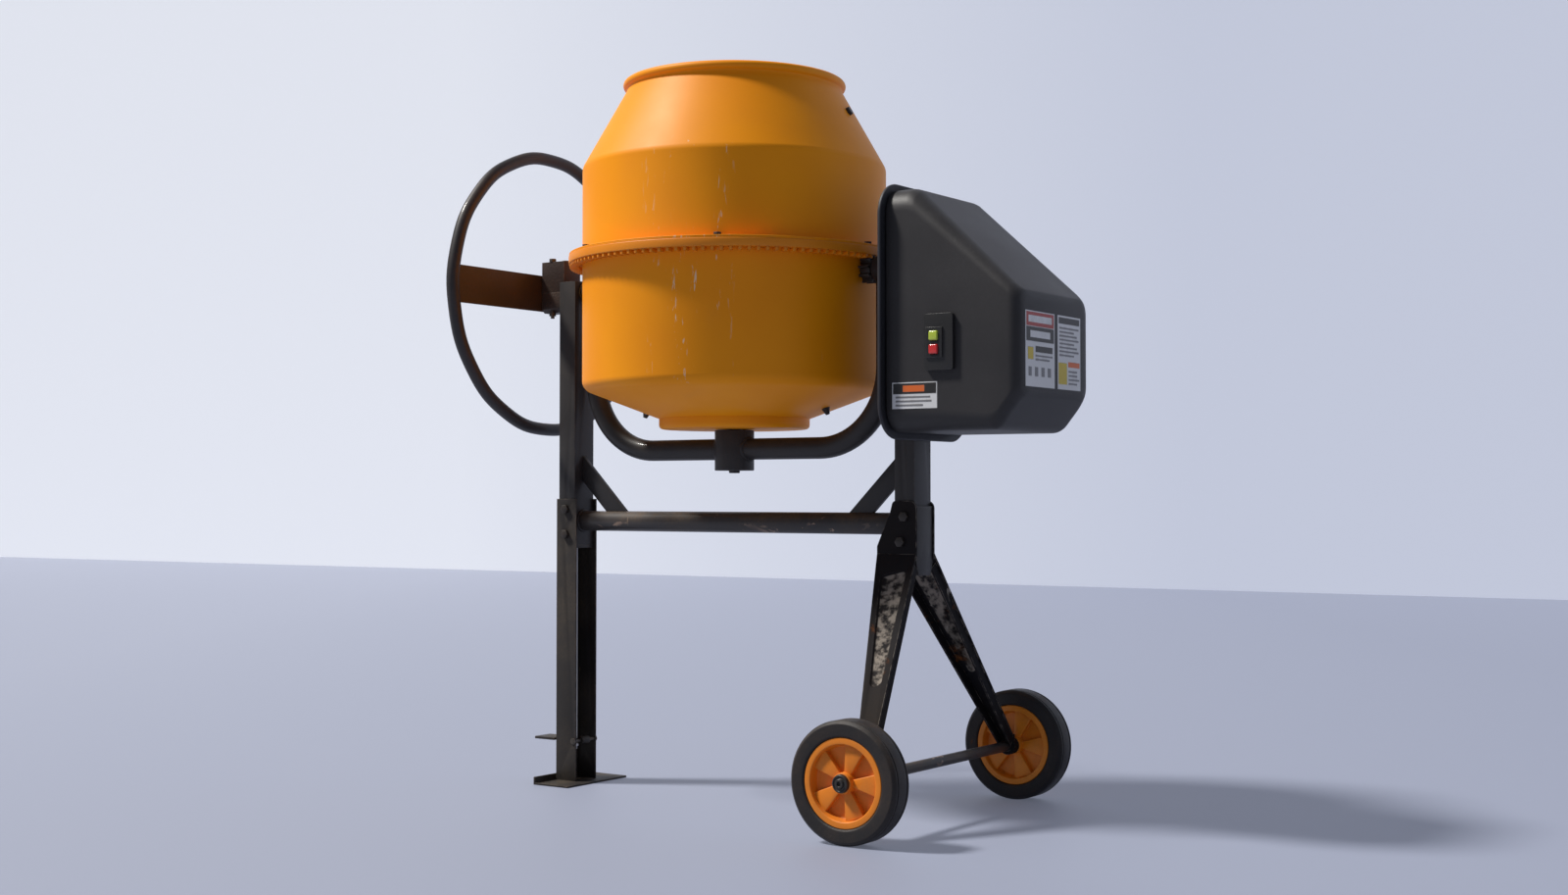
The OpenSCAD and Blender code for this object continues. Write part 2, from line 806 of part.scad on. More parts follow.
// Hub with two bearing seats and a closed lower end.
module yoke_hub() {
    seat_r = hub_bore_r - 5;
    color("#242428") difference() {
        union() {
            translate([0, 0, hub_bottom_z]) cylinder(r = hub_r, h = hub_top_z - hub_bottom_z);
            translate([0, 0, hub_bottom_z - 5]) cylinder(r = 12, h = 6, $fn = 6);
        }
        translate([0, 0, hub_bottom_z + hub_cap_t]) cylinder(r = seat_r, h = 200);
        translate([0, 0, hub_bottom_z + hub_cap_t])
            cylinder(r = hub_bore_r, h = bearing_w + 11);
        translate([0, 0, hub_top_z - bearing_inset - bearing_w]) cylinder(r = hub_bore_r, h = 60);
    }
}

module hub_bearings() {
    low_z = hub_bottom_z + hub_cap_t + 11;
    high_z = hub_top_z - bearing_inset - bearing_w;
    color("#c9cbce") for (z = [low_z, high_z]) {
        translate([0, 0, z]) difference() {
            cylinder(r = hub_bore_r, h = bearing_w);
            translate([0, 0, -1]) cylinder(r = spindle_r + run_fit, h = bearing_w + 2);
        }
    }
}

// ---- drum ----

spindle_top_z = floor_z + drum_wall + 14;
spindle_bottom_z = hub_bottom_z + hub_cap_t + 2;
spindle_flange_z = dish_z + dish_wall;

module spindle() {
    color("#8b8d90") {
        translate([0, 0, spindle_bottom_z]) cylinder(r = spindle_r, h = spindle_top_z - spindle_bottom_z);
        translate([0, 0, spindle_flange_z]) cylinder(r = spindle_r + 40, h = 8);
    }
}

module spindle_nuts() {
    color("#77797c") {
        nut_on_spindle(floor_z + drum_wall, spindle_r + 11, 12);
        nut_on_spindle(spindle_bottom_z, spindle_r + 7, 8);
    }
}

module nut_on_spindle(z, corner_r, h) {
    translate([0, 0, z]) difference() {
        cylinder(r = corner_r, h = h, $fn = 6);
        translate([0, 0, -1]) cylinder(r = spindle_r, h = h + 2);
    }
}

// Pan welded under the drum, which spreads the spindle's load.
module drum_dish() {
    color("#e8820f") rotate_extrude() polygon(rounded(
        [[spindle_r, dish_z], [dish_r, dish_z], [dish_r, floor_z], [dish_r - dish_wall, floor_z],
         [dish_r - dish_wall, dish_z + dish_wall], [spindle_r, dish_z + dish_wall]],
        [0, 8, 0, 0, 4, 0]));
}

base_rise = drum_wall / cos(atan2(base_cone_h, drum_r - dish_r));
base_slope = base_cone_h / (drum_r - dish_r);
cone_inset = drum_wall / sin(atan2(top_cone_h, drum_r - mouth_r));
cone_slope = (drum_r - mouth_r) / top_cone_h;
wall_r = drum_r - drum_wall;
// Crease of the inner skin, where the bottom cone meets the cylinder
inner_crease_z = crease_z + base_rise - drum_wall * base_slope;
// Inner skin's places on the top cone
inner_shoulder_z = shoulder_z - (cone_inset - drum_wall) / cone_slope;
inner_neck_z = cone_top_z - (cone_inset - drum_wall) / cone_slope;
floor_r = dish_r - (base_rise - drum_wall) / base_slope;

module drum_lower_skin() {
    rotate_extrude() polygon(rounded(
        [[spindle_r, floor_z], [dish_r, floor_z], [drum_r, crease_z], [drum_r, ring_top_z],
         [lip_r, ring_top_z], [lip_r, seam_z], [wall_r, seam_z], [wall_r, inner_crease_z],
         [floor_r, floor_z + drum_wall], [spindle_r, floor_z + drum_wall]],
        [0, 0, soft_r, 0, 0, 0, 0, soft_r - drum_wall, 0, 0]));
}

module drum_upper_skin() {
    rotate_extrude() {
        polygon(rounded(
            [[wall_r, seam_z], [lip_r, seam_z], [lip_r, seam_z + drum_wall],
             [drum_r, seam_z + drum_wall], [drum_r, shoulder_z], [mouth_r, cone_top_z],
             [mouth_r, bead_z], [mouth_r - drum_wall, bead_z],
             [mouth_r - drum_wall, inner_neck_z], [wall_r, inner_shoulder_z]],
            [0, 0, 0, 0, soft_r, 8, 0, 0, 8 + drum_wall, soft_r - drum_wall]));
        translate([mouth_r, bead_z]) circle(d = bead_d, $fn = 32);
    }
}

// Space inside the drum, up to its inner skin.
module drum_space() {
    rotate_extrude() polygon([[0, floor_z + drum_wall], [floor_r, floor_z + drum_wall],
        [wall_r, inner_crease_z], [wall_r, inner_shoulder_z],
        [mouth_r - drum_wall, inner_neck_z], [0, inner_neck_z]]);
}

// Places on the bottom cone and the top cone where the mixing blades are bolted.
low_bolt_r = 196;
high_bolt_r = 244;
low_bolt_z = crease_z - (drum_r - low_bolt_r) * base_slope;
high_bolt_z = shoulder_z + (drum_r - high_bolt_r) / cone_slope;
low_tilt = 180 - atan(base_slope);
high_tilt = atan2(top_cone_h, drum_r - mouth_r);
blade_bolt_r = 4;

module on_bottom_cone() {
    for (turn = [0, 180]) {
        rotate([0, 0, blade_turn + turn]) translate([low_bolt_r, 0, low_bolt_z])
            rotate([0, low_tilt, 0]) children();
    }
}

module on_top_cone() {
    for (turn = [0, 180]) {
        rotate([0, 0, blade_turn + turn]) translate([high_bolt_r, 0, high_bolt_z])
            rotate([0, high_tilt, 0]) children();
    }
}

module at_seam_bolts() {
    for (i = [0:seam_bolts - 1]) {
        rotate([0, 0, seam_turn + 360 * i / seam_bolts]) translate([drum_r + 11, 0, 0]) children();
    }
}

module drum_lower() {
    color("#f0860c") difference() {
        drum_lower_skin();
        on_bottom_cone() translate([0, 0, -20]) cylinder(r = blade_bolt_r, h = 40);
        at_seam_bolts() translate([0, 0, seam_z - 10]) cylinder(r = 4, h = 20);
    }
}

module drum_upper() {
    color("#f0860c") difference() {
        drum_upper_skin();
        on_top_cone() translate([0, 0, -20]) cylinder(r = blade_bolt_r, h = 40);
        at_seam_bolts() translate([0, 0, seam_z - 10]) cylinder(r = 4, h = 20);
    }
}

// Cast ring under the drum's lip, with square teeth on its underside.
module ring_gear() {
    tooth_x0 = drum_r + 6;
    color("#d9760c") difference() {
        union() {
            rotate_extrude() translate([drum_r, ring_root_z]) square([ring_w, ring_t]);
            for (i = [0:ring_teeth - 1]) {
                rotate([0, 0, (i + 0.5) * 360 / ring_teeth])
                    block([tooth_x0, -tooth_t / 2, ring_root_z - tooth_h],
                          [ring_r - 2, tooth_t / 2, ring_root_z + 1]);
            }
        }
        at_seam_bolts() translate([0, 0, ring_top_z - 9]) cylinder(r = 4, h = 20);
    }
}

// Shank through a cone's sheet, with a head that narrows to tip_r and stands out by rise.
module cone_bolt(tip_r, rise) {
    sunk = drum_wall - 0.5;
    translate([0, 0, -drum_wall - 12]) cylinder(r = blade_bolt_r, h = drum_wall + 16);
    translate([0, 0, -sunk]) cylinder(r1 = 9, r2 = tip_r, h = sunk + rise);
}

module drum_bolts() {
    color("#2a2624") {
        at_seam_bolts() translate([0, 0, seam_z + drum_wall]) hex_bolt(4, drum_wall * 2 + 8, 6);
        difference() {
            on_bottom_cone() cone_bolt(4, 13);
            drum_lower();
        }
        difference() {
            on_top_cone() cone_bolt(8, 6);
            drum_upper();
        }
    }
}

// Two steel paddles, each with a foot bolted to the bottom cone and one bolted to the top cone.
module mixing_blades() {
    blade_t = 5;
    gap = 10;
    reach = 92;
    side = 14;
    low_z = low_bolt_z + base_rise;
    high_z = high_bolt_z - drum_wall;
    outer = wall_r - gap;
    color("#8d8478") difference() {
        union() {
            for (turn = [0, 180]) {
                rotate([0, 0, blade_turn + turn]) plate_xz(-side - blade_t, -side) polygon(rounded(
                    [[low_bolt_r - 22, low_z - 2], [outer - 40, low_z + 32],
                     [outer, inner_crease_z + 40], [outer, inner_shoulder_z - 6],
                     [high_bolt_r + 14, high_z - 31], [high_bolt_r - 10, high_z + 6],
                     [high_bolt_r - 34, high_z - 20], [outer - reach, inner_shoulder_z - 70],
                     [outer - reach, inner_crease_z + 90]],
                    [6, 10, 20, 20, 6, 6, 10, 60, 60]));
            }
            intersection() {
                union() {
                    on_bottom_cone() block([-24, -side - blade_t, -drum_wall - 8], [24, side + 6, 0]);
                    on_top_cone() block([-24, -side - blade_t, -drum_wall - 8], [24, side + 6, 0]);
                }
                drum_space();
            }
        }
        on_bottom_cone() translate([0, 0, -20]) cylinder(r = blade_bolt_r, h = 40);
        on_top_cone() translate([0, 0, -20]) cylinder(r = blade_bolt_r, h = 40);
    }
}

// ---- drive ----

// Spur pinion with tapered teeth; one tooth stands upright in a gap of the ring.
module pinion() {
    root_hw = 3.1;
    tip_hw = 2;
    color("#4a4a4d") translate([0, 0, pivot_z]) plate_yz(pinion_x0, pinion_x1) difference() {
        union() {
            circle(r = pinion_root_r);
            for (i = [0:pinion_teeth - 1]) {
                rotate(i * 360 / pinion_teeth)
                    polygon([[-root_hw, pinion_root_r - 4], [root_hw, pinion_root_r - 4],
                             [tip_hw, pinion_tip_r], [-tip_hw, pinion_tip_r]]);
            }
        }
        circle(r = drive_r);
    }
}

module drive_shaft() {
    color("#9a9ca0") translate([0, 0, pivot_z])
        bar_along_x(drive_r, pinion_x0 - 1, pulley_x + pulley_w + 8);
}

// Pulley profile with a flat belt bed between two flanges, about the X axis.
module pulley(bed_r, hub_r, bore_r) {
    hw = pulley_w / 2;
    translate([pulley_x + hw, 0, 0]) rotate([0, 90, 0]) rotate_extrude() {
        translate([bore_r, -hw]) square([hub_r - bore_r, pulley_w]);
        translate([bore_r, -3]) square([bed_r - bore_r, 6]);
        translate([bed_r - 7, -hw]) square([7, pulley_w]);
        translate([bed_r - 1, -hw]) square([4, 2]);
        translate([bed_r - 1, hw - 2]) square([4, 2]);
    }
}

module driven_pulley() {
    color("#b9bbbe") translate([0, 0, pivot_z]) pulley(pulley_r, drive_r + 12, drive_r);
}

// Motor pulley with the stub of the rotor's shaft.
module motor_pulley() {
    shaft_r = 8;
    color("#b9bbbe") translate([0, 0, motor_z]) {
        pulley(motor_pulley_r, shaft_r + 6, shaft_r - 1);
        bar_along_x(shaft_r, pulley_x - 3, motor_x + 40);
    }
}

module motor() {
    color("#6b7075") translate([0, 0, motor_z]) difference() {
        union() {
            bar_along_x(motor_r, motor_x, motor_x + motor_l);
            for (turn = [0:15:345]) {
                rotate([turn, 0, 0])
                    block([motor_x + 12, motor_r - 2, -1.5], [motor_x + motor_l - 30, motor_r + 5, 1.5]);
            }
        }
        bar_along_x(8 + run_fit, motor_x - 1, motor_x + 41);
    }
}

// Plate that carries the motor on four spacers from the back panel.
module motor_bracket() {
    plate_t = 6;
    hw = motor_r + 12;
    color("#55565a") translate([0, 0, motor_z]) difference() {
        union() {
            plate_yz(motor_x - plate_t, motor_x)
                polygon(rounded([[-hw, -hw], [hw, -hw], [hw, hw], [-hw, hw]], [10, 10, 10, 10]));
            for (sy = [-1, 1], sz = [-1, 1]) {
                translate([0, sy * (motor_r + 5), sz * 42]) bar_along_x(6, cover_x0, motor_x - 1);
            }
        }
        bar_along_x(20, motor_x - plate_t - 1, motor_x + 1);
    }
}

// Closed loop of belt round both pulleys.
module drive_belt() {
    mid = pulley_x + pulley_w / 2;
    color("#1d1d1f") plate_yz(mid - belt_w / 2, mid + belt_w / 2) difference() {
        belt_outline(belt_gap + belt_t);
        belt_outline(belt_gap);
    }
}

module belt_outline(over) {
    hull() {
        translate([0, pivot_z]) circle(r = pulley_r + over, $fn = 64);
        translate([0, motor_z]) circle(r = motor_pulley_r + over, $fn = 64);
    }
}

// ---- motor housing ----

module housing_back() {
    y1 = cover_y + panel_margin;
    z0 = cover_bottom_z - panel_margin + 7;
    z1 = cover_top_z + panel_rise;
    color("#3a3a3f") difference() {
        plate_yz(post_out, post_out + panel_t)
            polygon(rounded([[-y1, z0], [y1, z0], [y1, z1], [-y1, z1]], [62, 62, 62, 62], 10));
        translate([0, 0, pivot_z]) bar_along_x(sleeve_r + 2, post_out - 1, post_out + panel_t + 1);
        cover_screw_places() bar_along_x(3, post_out - 1, post_out + panel_t + 1);
    }
}

module cover_screw_places() {
    for (sy = [-1, 1], z = boss_zs) {
        translate([0, sy * (cover_y - 11), z]) children();
    }
}

// Solid shape of the cover, or of its hollow when it is inset.
module cover_body(inset) {
    y1 = cover_y - inset;
    x1 = cover_x1 - inset;
    top = cover_top_z - inset;
    bottom = cover_bottom_z + inset;
    x0 = cover_x0 - (inset > 0 ? 1 : 0);
    intersection() {
        plate_xz(-y1, y1) polygon(rounded(
            [[x0, bottom], [nose_x - inset * 0.4, bottom], [x1, nose_z + inset * 0.4],
             [x1, slope_z - inset * 0.4], [slope_x - inset * 0.4, top], [x0, top]],
            [0, 20, 16, 14, 24, 0]));
        translate([0, 0, cover_bottom_z - 1]) linear_extrude(cover_top_z - cover_bottom_z + 2)
            polygon(rounded([[x0, -y1], [x1, -y1], [x1, y1], [x0, y1]], [0, 22, 22, 0], 8));
        plate_yz(x0, x1) polygon(rounded([[-y1, bottom], [y1, bottom], [y1, top], [-y1, top]],
            [46, 46, 46, 46], 8));
    }
}

module housing_cover() {
    color("#343439") difference() {
        union() {
            difference() {
                cover_body(0);
                cover_body(cover_wall);
            }
            intersection() {
                cover_screw_places() bar_along_x(9, cover_x0, cover_x0 + 24);
                cover_body(0);
            }
        }
        cover_screw_places() bar_along_x(2.5, cover_x0 - 1, cover_x0 + 18);
        block([switch_x - 21, -cover_y - 1, switch_z - 42],
              [switch_x + 21, -cover_y + cover_wall + 1, switch_z + 42]);
        translate([switch_x, cover_y, switch_z]) bar_along_y(10, -cover_wall - 2, 1);
    }
}

module cover_screws() {
    color("#77797c") cover_screw_places() {
        bar_along_x(5, post_out - 3, post_out);
        bar_along_x(2.5, post_out - 1, cover_x0 + 16);
    }
}

// Switch case let into the cover's near side, with a raised frame round the two buttons.
module switch_box() {
    front = -cover_y - 8;
    color("#4a4a50") difference() {
        union() {
            plate_xz(front, -cover_y) polygon(rounded(
                [[switch_x - 29, switch_z - 50], [switch_x + 29, switch_z - 50],
                 [switch_x + 29, switch_z + 50], [switch_x - 29, switch_z + 50]], [5, 5, 5, 5]));
            block([switch_x - 21, -cover_y - 1, switch_z - 42], [switch_x + 21, -cover_y + 44, switch_z + 42]);
            block([button_x - 17, front - 3, switch_z - 28], [button_x + 17, front + 1, switch_z + 26]);
        }
        for (dz = [stop_dz, start_dz]) {
            plate_xz(front - 10, front + 12) button_outline(dz, button_fit);
        }
    }
}

module button_outline(dz, over) {
    hw = button_hw + over;
    hh = button_hh + over;
    translate([button_x, switch_z + dz])
        polygon(rounded([[-hw, -hh], [hw, -hh], [hw, hh], [-hw, hh]], [2.5, 2.5, 2.5, 2.5]));
}

module push_button(dz) {
    front = -cover_y - 8;
    plate_xz(front - 6, front + 7) button_outline(dz, 0);
}

module start_button() {
    color("#1f9a3c") push_button(start_dz);
}

module stop_button() {
    color("#c8201c") push_button(stop_dz);
}

// Thin blank plates: one on the near side and two on the end face.
module label_plates() {
    color("#d8d8d4") {
        block([post_out + 20, -cover_y - label_t, cover_bottom_z + 40],
              [post_out + 112, -cover_y, cover_bottom_z + 87]);
        block([cover_x1, -116, slope_z - 164], [cover_x1 + label_t, -4, slope_z - 32]);
        block([cover_x1, 8, slope_z - 164], [cover_x1 + label_t, 100, slope_z - 32]);
    }
}

// Screwed gland for the supply cable on the far side.
module cable_gland() {
    color("#2e2e31") translate([switch_x, cover_y, switch_z]) difference() {
        union() {
            translate([0, 0, 0]) rotate([-90, 0, 0]) cylinder(r = 15, h = 9, $fn = 6);
            bar_along_y(10, -cover_wall, 24);
            bar_along_y(12, 9, 20);
        }
        bar_along_y(4.5, -cover_wall - 1, 25);
    }
}

place() left_post();
place() right_post();
place() left_leg();
place() foot_plate();
place() cross_bar();
place() braces();
place() front_wheel_leg();
place() rear_wheel_leg();
place() leg_saddle();
place() frame_bolts();
place() axle();
place() front_tyre();
place() front_rim();
place() front_hub_cap();
place() rear_tyre();
place() rear_rim();
place() rear_hub_cap();
place() foot_pedal();
place() pedal_pin();
place() rod_guide();
place() lock_rod();
place() lock_spring();
place() left_bearing_base();
place() left_bearing_cap();
place() bearing_bolts();
place() post_bushes();
place() tilt_wheel();
place() wheel_hub();
place() hub_bolts();
place() left_trunnion();
place() right_trunnion();
place() shaft_bushes();
place() yoke_arm_left();
place() yoke_arm_right();
place() yoke_hub();
place() hub_bearings();
place() spindle();
place() spindle_nuts();
place() drum_dish();
place() drum_lower();
place() drum_upper();
place() ring_gear();
place() drum_bolts();
place() mixing_blades();
place() pinion();
place() drive_shaft();
place() driven_pulley();
place() housing_back();
place() housing_cover();
place() cover_screws();
place() motor_bracket();
place() motor();
place() motor_pulley();
place() drive_belt();
place() switch_box();
place() start_button();
place() stop_button();
place() label_plates();
place() cable_gland();
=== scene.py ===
import json
import math
import bpy
import bmesh
from mathutils import Matrix, Vector, noise


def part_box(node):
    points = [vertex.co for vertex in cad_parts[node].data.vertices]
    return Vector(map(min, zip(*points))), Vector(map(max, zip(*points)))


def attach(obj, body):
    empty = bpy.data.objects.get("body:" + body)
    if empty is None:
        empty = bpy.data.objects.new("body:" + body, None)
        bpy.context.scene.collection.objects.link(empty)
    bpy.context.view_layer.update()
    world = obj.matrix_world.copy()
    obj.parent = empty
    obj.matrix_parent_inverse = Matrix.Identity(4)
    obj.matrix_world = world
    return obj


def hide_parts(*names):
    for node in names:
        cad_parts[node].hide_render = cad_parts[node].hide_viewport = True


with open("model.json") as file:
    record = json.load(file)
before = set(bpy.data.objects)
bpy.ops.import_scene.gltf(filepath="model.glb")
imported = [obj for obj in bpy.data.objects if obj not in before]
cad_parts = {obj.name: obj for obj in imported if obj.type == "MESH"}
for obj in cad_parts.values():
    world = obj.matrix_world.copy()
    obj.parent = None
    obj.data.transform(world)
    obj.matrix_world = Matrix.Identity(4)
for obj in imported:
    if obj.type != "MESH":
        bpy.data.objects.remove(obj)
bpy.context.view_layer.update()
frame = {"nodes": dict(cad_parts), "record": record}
scene = bpy.context.scene
bodyOf = {node: body for body, nodes in frame["record"]["behaviour"]["bodies"].items() for node in nodes}
full = 2 * math.pi
axes = {"x": Vector((1, 0, 0)), "y": Vector((0, 1, 0)), "z": Vector((0, 0, 1))}
print("frame loaded")


def middle(node):
    low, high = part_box(node)
    return (low + high) / 2


# ---------- mesh helpers ----------

def roundCorner(bm, vert, radius, steps):
    a, b = [edge.other_vert(vert).co - vert.co for edge in vert.link_edges]
    reach = radius / math.tan(a.angle(b) / 2)
    bmesh.ops.bevel(bm, geom=[vert], offset=reach, segments=steps, profile=0.5,
                    affect="VERTICES", material=-1)


# points are (place, corner radius); returns the closed line's edges
def outline(bm, points, steps=5):
    before = set(bm.verts)
    verts = [bm.verts.new(place) for place, radius in points]
    for i, vert in enumerate(verts):
        bm.edges.new((verts[i - 1], vert))
    for vert, (place, radius) in zip(verts, points):
        if radius:
            roundCorner(bm, vert, radius, steps)
    mine = set(bm.verts) - before
    return [edge for edge in bm.edges if edge.verts[0] in mine]


# radius from the axis, height along the axis -> a place beside the axis
def beside(axis, centre, radius, height):
    if axis == "z":
        return Vector((centre.x + radius, centre.y, height))
    if axis == "y":
        return Vector((centre.x + radius, height, centre.z))
    return Vector((height, centre.y, centre.z + radius))


# spins a closed profile of (radius, height, corner radius) round an axis
def spun(bm, profile, axis, centre, steps=96, cornerSteps=5):
    points = [(beside(axis, centre, r, h), soft) for r, h, soft in profile]
    edges = outline(bm, points, cornerSteps)
    verts = list({vert for edge in edges for vert in edge.verts})
    bmesh.ops.spin(bm, geom=verts + edges, cent=centre, axis=axes[axis], angle=full,
                   steps=steps, use_merge=True, use_duplicate=False)


# a flat outline made thick along a direction
def slab(bm, points, along, steps=5):
    edges = outline(bm, points, steps)
    face = bmesh.ops.contextual_create(bm, geom=edges)["faces"]
    grown = bmesh.ops.extrude_face_region(bm, geom=face)["geom"]
    verts = [item for item in grown if isinstance(item, bmesh.types.BMVert)]
    bmesh.ops.translate(bm, verts=verts, vec=along)
    return [item for item in grown if isinstance(item, bmesh.types.BMFace)]


def sharpEdges(bm, angle):
    limit = math.radians(angle)
    return [edge for edge in bm.edges
            if len(edge.link_faces) == 2 and edge.calc_face_angle() > limit]


def soften(bm, width, steps=2, angle=32, shortest=0.0):
    bmesh.ops.recalc_face_normals(bm, faces=bm.faces)
    edges = [edge for edge in sharpEdges(bm, angle) if edge.calc_length() > shortest]
    bmesh.ops.bevel(bm, geom=edges, offset=width, segments=steps, profile=0.5,
                    affect="EDGES", clamp_overlap=True, material=-1)


def box(bm, low, high):
    made = bmesh.ops.create_cube(bm, size=1)["verts"]
    low, high = Vector(low), Vector(high)
    bmesh.ops.scale(bm, verts=made, vec=high - low)
    bmesh.ops.translate(bm, verts=made, vec=(low + high) / 2)
    return made


# a round tube or bar: a ring of edges pushed along and spun round bends
def ringOfEdges(bm, radius, place, facing, sides=32):
    turn = axes["z"].rotation_difference(facing).to_matrix().to_4x4()
    made = bmesh.ops.create_circle(bm, cap_ends=False, radius=radius, segments=sides,
                                   matrix=Matrix.Translation(place) @ turn)["verts"]
    return list({edge for vert in made for edge in vert.link_edges})


def pushRing(bm, edges, along):
    grown = bmesh.ops.extrude_edge_only(bm, edges=edges)["geom"]
    verts = [item for item in grown if isinstance(item, bmesh.types.BMVert)]
    bmesh.ops.translate(bm, verts=verts, vec=along)
    return [item for item in grown if isinstance(item, bmesh.types.BMEdge)
            and item.verts[0] in verts and item.verts[1] in verts]


def turnRing(bm, edges, cent, axis, angle, steps):
    verts = list({vert for edge in edges for vert in edge.verts})
    last = bmesh.ops.spin(bm, geom=verts + edges, cent=cent, axis=axis, angle=angle,
                          steps=steps, use_duplicate=False)["geom_last"]
    return [item for item in last if isinstance(item, bmesh.types.BMEdge)]


weld = {"sides": 8, "fewest": 48, "stride": 0.0022}


# a rippled bead of weld round an axis; saddle is the radius of the tube it lies on, if any
def weldRing(bm, centre, axis, radius, size, saddle=0, side=1):
    before = set(bm.verts)
    start = beside(axis, centre, radius, centre["xyz".index(axis)])
    facing = axes["x"] if axis == "y" else axes["y"]
    edges = ringOfEdges(bm, size, start, facing, sides=weld["sides"])
    verts = list({vert for edge in edges for vert in edge.verts})
    steps = max(weld["fewest"], int(radius * full / weld["stride"]))
    bmesh.ops.spin(bm, geom=verts + edges, cent=centre, axis=axes[axis], angle=full,
                   steps=steps, use_merge=True, use_duplicate=False)
    along = axes[axis]
    for vert in set(bm.verts) - before:
        away = vert.co - centre
        flat = away - along * away.dot(along)
        core = centre + flat.normalized() * radius
        ripple = 1 + sum(much * noise.noise(spot * scale)
                         for much, spot, scale in ((0.22, vert.co, 420), (0.16, core, 130)))
        vert.co = core + (vert.co - core) * ripple
        if saddle:
            vert.co += along * side * (math.sqrt(saddle ** 2 - flat.y ** 2) - saddle)


def makePiece(bm, name, body, materials, stands=(), smoothAngle=38, merge=0.00002):
    bmesh.ops.remove_doubles(bm, verts=bm.verts, dist=merge)
    bmesh.ops.recalc_face_normals(bm, faces=bm.faces)
    for face in bm.faces:
        face.smooth = True
    for edge in sharpEdges(bm, smoothAngle):
        edge.smooth = False
    mesh = bpy.data.meshes.new(name)
    bm.to_mesh(mesh)
    bm.free()
    for material in materials:
        mesh.materials.append(material)
    piece = bpy.data.objects.new(name, mesh)
    scene.collection.objects.link(piece)
    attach(piece, body)
    if stands:
        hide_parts(*stands)
    return piece


# ---------- shader helpers ----------

def addNode(tree, kind, values=None, **settings):
    made = tree.nodes.new(kind)
    for key, value in settings.items():
        setattr(made, key, value)
    for key, value in (values or {}).items():
        if isinstance(value, bpy.types.NodeSocket):
            tree.links.new(value, made.inputs[key])
        else:
            made.inputs[key].default_value = value
    return made


def calc(tree, operation, a, b=0.0):
    return addNode(tree, "ShaderNodeMath", {0: a, 1: b}, operation=operation).outputs[0]


def remap(tree, value, low, high, start=0.0, end=1.0, kind="SMOOTHSTEP"):
    return addNode(tree, "ShaderNodeMapRange", {0: value, 1: low, 2: high, 3: start, 4: end},
                   interpolation_type=kind).outputs[0]


def mixColour(tree, factor, a, b):
    made = addNode(tree, "ShaderNodeMix", {"Factor": factor}, data_type="RGBA")
    for index, value in ((6, a), (7, b)):
        if isinstance(value, bpy.types.NodeSocket):
            tree.links.new(value, made.inputs[index])
        else:
            made.inputs[index].default_value = (*value, 1)
    return made.outputs[2]


def mottle(tree, place, scale, detail=4.0, roughness=0.6, distortion=0.0):
    return addNode(tree, "ShaderNodeTexNoise", {"Vector": place, "Scale": scale, "Detail": detail,
                   "Roughness": roughness, "Distortion": distortion}).outputs["Fac"]


def stretched(tree, place, scale):
    return addNode(tree, "ShaderNodeMapping", {"Vector": place, "Scale": scale}).outputs[0]


def newGroup(name, inputs, outputs):
    tree = bpy.data.node_groups.new(name, "ShaderNodeTree")
    for label, value in inputs.items():
        kind = "NodeSocketVector" if label == "Place" else "NodeSocketFloat"
        socket = tree.interface.new_socket(label, in_out="INPUT", socket_type=kind)
        if kind == "NodeSocketFloat":
            socket.default_value = value
    for label in outputs:
        tree.interface.new_socket(label, in_out="OUTPUT", socket_type="NodeSocketFloat")
    return tree, tree.nodes.new("NodeGroupInput").outputs, tree.nodes.new("NodeGroupOutput").inputs


def useGroup(tree, group, values):
    return addNode(tree, "ShaderNodeGroup", values, node_tree=group).outputs


# edges rubbed bare: where the rounded normal leaves the true one, broken up by noise
def buildWornEdges():
    tree, given, out = newGroup("worn edges", {"Place": None, "Width": 0.002, "Break": 60}, ["Mask"])
    rounded = addNode(tree, "ShaderNodeBevel", {"Radius": given["Width"]}, samples=4).outputs[0]
    true = addNode(tree, "ShaderNodeNewGeometry").outputs["Normal"]
    same = addNode(tree, "ShaderNodeVectorMath", {0: rounded, 1: true}, operation="DOT_PRODUCT")
    edge = remap(tree, calc(tree, "SUBTRACT", 1.0, same.outputs["Value"]), 0.004, 0.12)
    broken = remap(tree, mottle(tree, given["Place"], given["Break"], 5), 0.40, 0.62)
    tree.links.new(calc(tree, "MULTIPLY", edge, broken), out["Mask"])
    return tree


# dust that lies on what faces up and gathers in soft patches
def buildDust():
    tree, given, out = newGroup("settled dust", {"Place": None, "Scale": 7, "Amount": 0.5}, ["Mask"])
    world = addNode(tree, "ShaderNodeNewGeometry").outputs["Normal"]
    own = addNode(tree, "ShaderNodeVectorTransform", {0: world}, vector_type="NORMAL",
                  convert_from="WORLD", convert_to="OBJECT").outputs[0]
    up = addNode(tree, "ShaderNodeSeparateXYZ", {0: own}).outputs["Z"]
    lie = remap(tree, up, -0.4, 0.95, 0.22, 1.0)
    patch = remap(tree, mottle(tree, given["Place"], given["Scale"], 7, 0.65, 0.3), 0.34, 0.72)
    fine = remap(tree, mottle(tree, given["Place"], 190, 3), 0.3, 0.75, 0.45, 1.0)
    mask = calc(tree, "MULTIPLY", calc(tree, "MULTIPLY", lie, patch), fine)
    tree.links.new(calc(tree, "MULTIPLY", mask, given["Amount"]), out["Mask"])
    return tree


